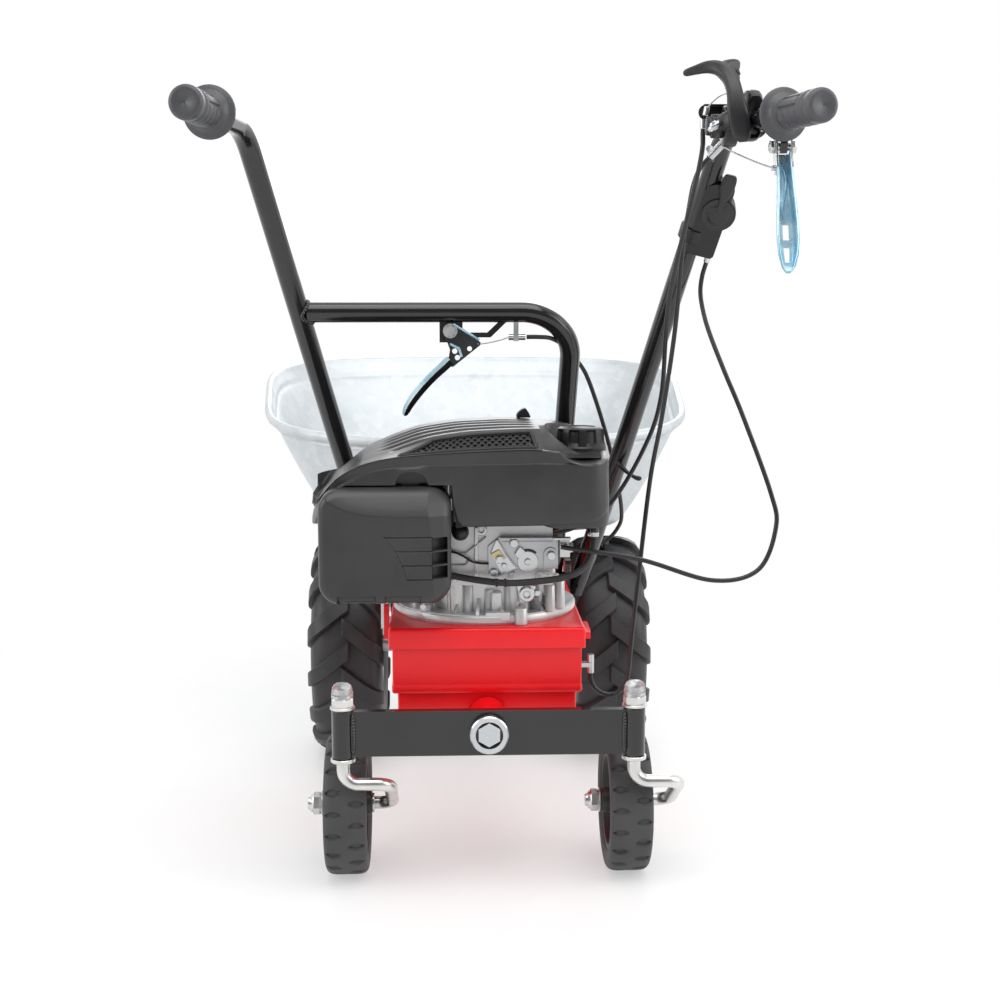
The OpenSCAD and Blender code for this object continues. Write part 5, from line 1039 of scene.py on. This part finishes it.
# Ties: a zinc spring clip holds the hose on the tank's stub, two black cable ties hold it under the
# governor plate, and a black plastic hook on the right tube guides the cables.
clip = [turned([(-2.4, 4.2), (-2.4, 5.4), (2.4, 5.4), (2.4, 4.2)], (128, -470, 401), UPWARDS, 32),
        stacked(2, 3, 0.8, [(0.3, 399.6), (0, 400), (0, 402), (0.3, 402.4)], (121.6, -473, 0))]
piece("hose_clip", clip, bright_zinc, smooth=40)
ties = [turned([(-1.3, 4.1), (-1.3, 5), (1.3, 5), (1.3, 4.1)], (x, -504.6, 350.2), SIDEWAYS, 28) for x in (11, 21)]
piece("hose_ties", ties, nylon, smooth=40)
hook = tapered([(176, -288, 466, 3, 4), (181, -297, 460, 3.4, 5), (187, -303, 454, 2.6, 4.6),
                (195, -306, 449, 2.6, 4.6), (201, -307, 447, 3.4, 5), (204, -307, 448, 2, 4)], 28, (0, 1, 0))
piece("tube_clip", [hook], nylon, smooth=50)

# Rear beam: a flat steel bar that rocks on the gearbox stub, with a swivel sleeve welded to
# each end. Powder coated black; the bush in its middle is zinc plated and turned out to hide
# the head of the pivot bolt.
BEAM_Y, BEAM_Z, SLEEVE_X = -572.0, 192.0, 165.0
BAR_END = SLEEVE_X - 8
bar = [(-BAR_END, -26), (BAR_END, -26), (BAR_END, 26), (-BAR_END, 26)]
sleeve = [(-28, 7.6), (-28, 11.4), (-27.2, 12.25), (27.2, 12.25), (28, 11.4), (28, 7.6)]
beam = [plate(bar, -6, 6, (0, BEAM_Y, BEAM_Z), SIDEWAYS, UPWARDS)]
beam += [turned(sleeve, (side * SLEEVE_X, BEAM_Y, BEAM_Z), UPWARDS, 40) for side, word in SIDES]
piece("rocker_bar", beam, black_coat, "beam", "rocker_beam", bevel=0.9)


def seam(x, y, size=3.0, beats=13):
    """An upright weld: a round section on a line, swelling for each beat and drawn to a point at both ends."""
    t = np.linspace(0, 1, 6 * beats)
    swell = size * (1 + 0.18 * np.sin(2 * np.pi * beats * t)) * np.sqrt(np.clip(1 - (2 * t - 1) ** 8, 0.02, 1))
    line = np.stack([x + 0 * t, y + 0 * t, BEAM_Z - 23.5 + 47 * t], -1)
    return swept(line, circle(1, 10)[None] * swell[:, None, None], up=(0.2, 1, 0.1))


def hoop(profile, origin, axis, n):
    """A closed profile spun round an axis, with no end faces."""
    points, faces = turned(profile + profile[:1], origin, axis, n)
    return points, faces[:1]


welds = [seam(side * (SLEEVE_X - 11.6), BEAM_Y + face * 6.4) for side, word in SIDES for face in (-1, 1)]
piece("rocker_welds", welds, black_coat, "beam")
bush = [(-16, 15.5), (-16, 20.6), (-14.6, 21.9), (-6.2, 21.9), (-6.2, 20.6), (11, 20.6), (11, 12.2), (-1.6, 12.2),
        (-1.6, 15.5)]
piece("pivot_ring", [hoop(bush, (0, BEAM_Y, BEAM_Z), (0, 1, 0), 64)], bright_zinc, "beam", "pivot_bush", smooth=30)
dress(bright_zinc, "pivot_bolt")

# Casters: each is a bright zinc rod bent in three places, from the swivel stem sideways, down
# and forward to the wheel and back through its hub. A domed lock nut and its clear cap hold
# the stem, a flanged nut the wheel; the tyre is solid rubber on a moulded hub.
TRAIL, CASTER_R, NICKS = 79.9109, 82.5, 20


def caster_tyre(side):
    """Tread radius over width and angle: a flat crown with round shoulders, cut by lens shaped nicks that
    alternate between the two edges."""
    key = np.array([(-21, 58.6), (-23.4, 62), (-25, 68.5), (-24.6, 75), (-23, 78.6), (-19.5, 81.2), (-13, 82.4),
                    (0, 82.5), (13, 82.4), (19.5, 81.2), (23, 78.6), (24.6, 75), (25, 68.5), (23.4, 62), (21, 58.6)])
    ring = curve(key, 74)
    a = np.linspace(0, 2 * np.pi, NICKS * 20, endpoint=False)[None]
    x, r = ring[:, :1], ring[:, 1:]
    phase = a * NICKS / (2 * np.pi)
    cut = 0.0
    for edge, shift in ((-1, 0.0), (1, 0.5)):
        near = np.abs((phase + shift) % 1 - 0.5) * 2
        lens = np.clip(1 - ((edge * x - 13.0) / 9.0) ** 2, 0, 1)
        cut = cut + 3.2 * (lens > 0) * np.clip(2.4 - 2.4 * near / (0.40 * lens + 1e-6), 0, 1)
    r = r - cut * ramp(r, 76, 80)
    points = np.stack([side * SLEEVE_X + x + 0 * a, BEAM_Y + TRAIL - r * np.cos(a), CASTER_R + r * np.sin(a)], -1)
    return grid(points, round_u=True, round_v=True)


def caster_rod(side):
    """The rod's round section along its bent line, with the two end faces chamfered."""
    line = bent([(0, 0, 241.5), (0, 0, 132), (53, 0, 132), (53, TRAIL, CASTER_R), (-47, TRAIL, CASTER_R)], 17, 12)
    line = np.concatenate([line[:1] + [0, 0, 1.2], line, line[-1:] - [1.2, 0, 0]])
    size = np.full(len(line), 7.5)
    size[[0, -1]] = 6.3
    return swept(line + [side * SLEEVE_X, BEAM_Y, 0], circle(1, 28)[None] * size[:, None, None], up=(0.12, 1.0, 0.47))


caster_rubber = coated("rubber", "caster_rubber", ((0.040, 0.040, 0.042), (0.058, 0.058, 0.060)), (0.5, 0.64),
                       (600, 0.06))
hub_plastic = coated("plastic", "hub_plastic", ((0.018, 0.018, 0.019), (0.026, 0.026, 0.027)), (0.4, 0.5), (800, 0.04))
rod_zinc = plated("rod_zinc", ((0.66, 0.66, 0.65), (0.80, 0.79, 0.77)), (0.24, 0.38))
clear_cap = coated("zinc", "clear_cap", ((0.78, 0.80, 0.82), (0.86, 0.88, 0.90)), (0.10, 0.16), (300, 0.02))
feed(clear_cap[1].node_tree.nodes["Principled BSDF"], {"Transmission Weight": 0.85, "IOR": 1.45})
collar = [(159.1, 8), (159.1, 13.4), (159.7, 14), (162.9, 14), (163.6, 13.4), (163.6, 8)]
end_stop = [(28.4, 8), (28.4, 11), (29, 11.5), (30.5, 11.5), (31, 11), (31, 8)]
washer = [(220.4, 8), (220.4, 13.4), (220.9, 14), (222.9, 14), (223.4, 13.4), (223.4, 8)]
nut_neck = [(234, 10.6), (236.5, 10.2), (237.5, 8.4), (243.5, 7.6), (243.9, 0)]
nut_flange = [(-29.4, 7.6), (-29.4, 14.4), (-31, 14.6), (-32.2, 12.5), (-32.4, 7.6)]
dome = [(233, 12.2), (239.5, 12.2), (240.5, 11.8), (245, 11.3), (248.1, 9.6), (250.1, 6.4), (250.8, 0)]
hub = [(-29, 7.7), (-29, 13.6), (-27.6, 14.6), (-22, 15), (-12, 16.4), (-9, 19), (-8, 24), (-8, 46), (-9.5, 49.6),
       (-20, 52), (-21.4, 53), (-21.4, 58.4), (21.4, 58.4), (21.4, 53), (20, 52), (9.5, 49.6), (8, 46), (8, 24),
       (9, 19), (12, 16.4), (22, 15), (26.6, 14.6), (28, 13.6), (28, 7.7)]
for side, word in SIDES:
    stem, wheel = (side * SLEEVE_X, BEAM_Y, 0), (side * SLEEVE_X, BEAM_Y + TRAIL, CASTER_R)
    swivel, roll = word + "_swivel", word + "_caster"
    rod = [caster_rod(side), turned(collar, stem, UPWARDS, 36), turned(end_stop, wheel, SIDEWAYS, 32)]
    piece(word + "_bent_rod", rod, rod_zinc, swivel, word + "_crank")
    nuts = [turned(washer, stem, UPWARDS, 36), hexagon(23, 223.4, 234, stem, UPWARDS),
            turned(nut_neck, stem, UPWARDS, 32), turned(nut_flange, wheel, SIDEWAYS, 36),
            hexagon(23, 32.4, 42, wheel, (-1, 0, 0)),
            turned([(-42, 10.6), (-44.6, 9.8), (-45, 7.6)], wheel, SIDEWAYS, 32)]
    piece(word + "_caster_nut_set", nuts, rod_zinc, swivel, word + "_caster_nuts", smooth=30)
    piece(word + "_nut_dome", [turned(dome, stem, UPWARDS, 40)], clear_cap, swivel)
    piece(word + "_caster_tread", [caster_tyre(side)], caster_rubber, roll, word + "_caster_tyre", smooth=45)
    piece(word + "_caster_wheel_hub", [hoop(hub, wheel, SIDEWAYS, 64)], hub_plastic, roll, word + "_caster_hub",
          smooth=40)

# Tub carrier: two black steel arms bolted to the engine tray, with zinc hinge pins at the front
# and rubber rests at the back, and the two rails with hinge cheeks welded under the tub.
dress(black_coat, "tub_arms", "tub_rails")
dress(bright_zinc, "tub_pins")
dress(caster_rubber, "tub_buffers")

# Tub: one deep drawn skip of galvanised sheet. Its walls lean outwards from a rounded floor,
# a bead runs below the rim, and the rim is rolled outwards round a wire.
RIM_ROLL, SQUARE = 6.4, 2 / 0.42
FLOOR_HIGH, RIM_BACK, RIM_CLIMB = 345, 480, 80


def tub_ring(f, w, dz, a):
    """One ring of the wall. f is the height from floor to rim as a share and w how far the ring is drawn in. The
    outline is a superellipse whose middle, width and rim height all grow towards the front."""
    e = f**0.8
    back, front = -105 - 70 * e, 330 + 200 * e
    reach = (np.abs(np.cos(a)) ** SQUARE + np.abs(np.sin(a)) ** SQUARE) ** (-1 / SQUARE)
    u, v = reach * np.cos(a), reach * np.sin(a)
    bulge = 1 - u**2 * e * np.where(v > 0, 0.1, 0.2)
    y = (back + front) / 2 + ((front - back) / 2 - w) * v * bulge
    half = 205 + 20 * (y + 100) / 430 + e * (107 + 18 * (y - 200) / 330) - w
    rim = RIM_BACK + RIM_CLIMB * (np.maximum(0, y + 175) / 705) ** 1.1
    return np.stack([half * u, y, FLOOR_HIGH + (rim - FLOOR_HIGH) * f + dz], -1)


def spangled(name):
    """Hot dip zinc: the drifting colour of a coated finish, multiplied by a grey that differs between crystal cells."""
    made = coated("galvanised", name, ((0.56, 0.60, 0.62), (0.66, 0.69, 0.71)), (0.36, 0.50), (500, 0.03), drift=9,
                  metal=0.4)
    tree = made[1].node_tree
    cells = node(tree, "TexVoronoi", {"Vector": tree.nodes["Texture Coordinate"].outputs["Object"], "Scale": 70})
    grey = node(tree, "MapRange", {"Value": cells.outputs["Color"], "To Min": 0.93, "To Max": 1.05})
    tint = node(tree, "VectorMath", {0: tree.nodes["Color Ramp"].outputs["Color"], 1: grey.outputs["Result"]})
    tint.operation = "MULTIPLY"
    feed(tree.nodes["Principled BSDF"], {"Base Color": tint.outputs["Vector"]})
    return made


galvanised = spangled("galvanised_sheet")
around = np.linspace(0, 2 * np.pi, 240, endpoint=False)
rise = np.array([0.03, 0.10, 0.2, 0.3, 0.4, 0.5, 0.6, 0.7, 0.78, 0.84, 0.87, 0.885, 0.9, 0.915, 0.93, 0.945, 0.97])
bead_out = 2.0 * np.exp(-(((rise - 0.9) / 0.016) ** 2))
roll = np.radians(np.linspace(-80, 175, 12))
outside = [(0, 60, 0), (0, 12, 0), (0, 4, 0.4), (0.01, 1.2, 0.8)] + list(zip(rise, -bead_out, 0 * rise))
lip = [(1, 0, -9.5)] + list(zip(np.ones(12), -3.1 - 5.2 * np.cos(roll), RIM_ROLL * np.sin(roll)))
inside = list(zip(rise[::-1], 2 - bead_out[::-1], 0 * rise)) + [(0.01, 3.4, 2), (0, 6, 2), (0, 14, 2), (0, 60, 2)]
wall = np.stack([tub_ring(f, w, dz, around) for f, w, dz in outside + lip + inside])
piece("tub_skip", [grid(wall, round_v=True, caps=(True, True))], galvanised, "tipper", "tub", smooth=50)

# Studio: a white floor and a white world, a large soft lamp above on the camera's side, one at the
# left, one at the right and one beyond the tub. Camera, mirror and glass rays see plain white, and
# mirror rays that run back past the camera see the dimmer side of the room.
WHITE = (1, 1, 1, 1)


def reckon(tree, operation, a, b):
    """The result of one operation on two sockets."""
    made = node(tree, "Math", {0: a, 1: b})
    made.operation = operation
    return made.outputs[0]


def seen_rays(tree):
    """1 for camera, mirror and glass rays, which see the white surroundings, and 0 for the rays that light the
    object; and 1 for camera rays alone."""
    rays = node(tree, "LightPath", {}).outputs
    direct = reckon(tree, "MAXIMUM", rays["Is Camera Ray"], rays["Is Glossy Ray"])
    return reckon(tree, "MAXIMUM", direct, rays["Is Transmission Ray"]), rays["Is Camera Ray"]


scene = bpy.context.scene
scene.world = bpy.data.worlds.new("studio")
scene.world.use_nodes = True
tree = scene.world.node_tree
seen, by_camera = seen_rays(tree)
heading = node(tree, "SeparateXYZ", {0: node(tree, "TexCoord", {}).outputs["Generated"]}).outputs["Y"]
room = node(tree, "MapRange", {"Value": heading, "From Min": -0.85, "From Max": 0.25, "To Min": 0.22, "To Max": 1.0})
level = reckon(tree, "MAXIMUM", room.outputs["Result"], by_camera)
soft_light = feed(tree.nodes["Background"], {"Color": WHITE, "Strength": 0.6})
white = node(tree, "Background", {"Color": WHITE, "Strength": level})
choose = node(tree, "MixShader", {"Fac": seen, 1: soft_light.outputs[0], 2: white.outputs[0]})
feed(tree.nodes["World Output"], {"Surface": choose.outputs[0]})


def floor_finish():
    """A matt white floor that holds the object's shadow. Camera, mirror and glass rays see it mixed with plain white,
    more of it with the distance from the object."""
    made = coated("floor", "floor_white", ((0.93, 0.93, 0.93), (0.95, 0.95, 0.95)), (0.5, 0.6), (200, 0.01))[1]
    tree = made.node_tree
    away = node(tree, "VectorMath", {0: tree.nodes["Texture Coordinate"].outputs["Object"]})
    away.operation = "LENGTH"
    fade = node(tree, "MapRange", {"Value": away.outputs["Value"], "From Min": 0.55, "From Max": 1.15, "To Min": 0.45})
    fade.interpolation_type = "SMOOTHSTEP"
    share = reckon(tree, "MULTIPLY", fade.outputs["Result"], seen_rays(tree)[0])
    glow = node(tree, "Emission", {"Color": WHITE})
    blend = node(tree, "MixShader", {"Fac": share, 1: tree.nodes["Principled BSDF"].outputs[0], 2: glow.outputs[0]})
    feed(tree.nodes["Material Output"], {"Surface": blend.outputs[0]})
    return made


span = np.linspace(-8, 8, 17)
floor_points = np.stack(np.meshgrid(span, span, [0.0], indexing="ij"), -1)[:, :, 0]
ground = bpy.data.meshes.new("floor")
ground.from_pydata(floor_points.reshape(-1, 3).tolist(), [], grid(floor_points)[1][0][:, ::-1].tolist())
ground.materials.append(floor_finish())
floor = bpy.data.objects.new("floor", ground)
scene.collection.objects.link(floor)


def lamp(name, place, aim, size, power):
    """A square soft lamp at a place, turned to its aim."""
    light = bpy.data.lights.new(name, "AREA")
    light.size, light.energy = size, power
    made = bpy.data.objects.new(name, light)
    made.location = place
    made.rotation_euler = (Vector(aim) - Vector(place)).to_track_quat("-Z", "Y").to_euler()
    scene.collection.objects.link(made)


lamp("lamp_above", (0.3, -1.2, 3.0), (0, 0, 0.4), 2.4, 46)
lamp("lamp_left", (-2.6, -1.4, 1.6), (0, 0, 0.5), 1.8, 30)
lamp("lamp_right", (2.6, -1.0, 1.5), (0, 0, 0.5), 1.8, 26)
lamp("lamp_front", (0.4, 3.0, 1.9), (0, 0.2, 0.5), 2.0, 30)

lens = bpy.data.cameras.new("photo_view")
lens.lens, lens.sensor_width = 54.0, 36.0
camera = bpy.data.objects.new("photo_view", lens)
camera.location = (-0.049, -2.216 + AXLE_Y / 1000, 0.687)
camera.rotation_euler = np.radians([82.03, 0, -2.14])
scene.collection.objects.link(camera)
scene.camera = camera
scene.view_settings.view_transform = "Standard"
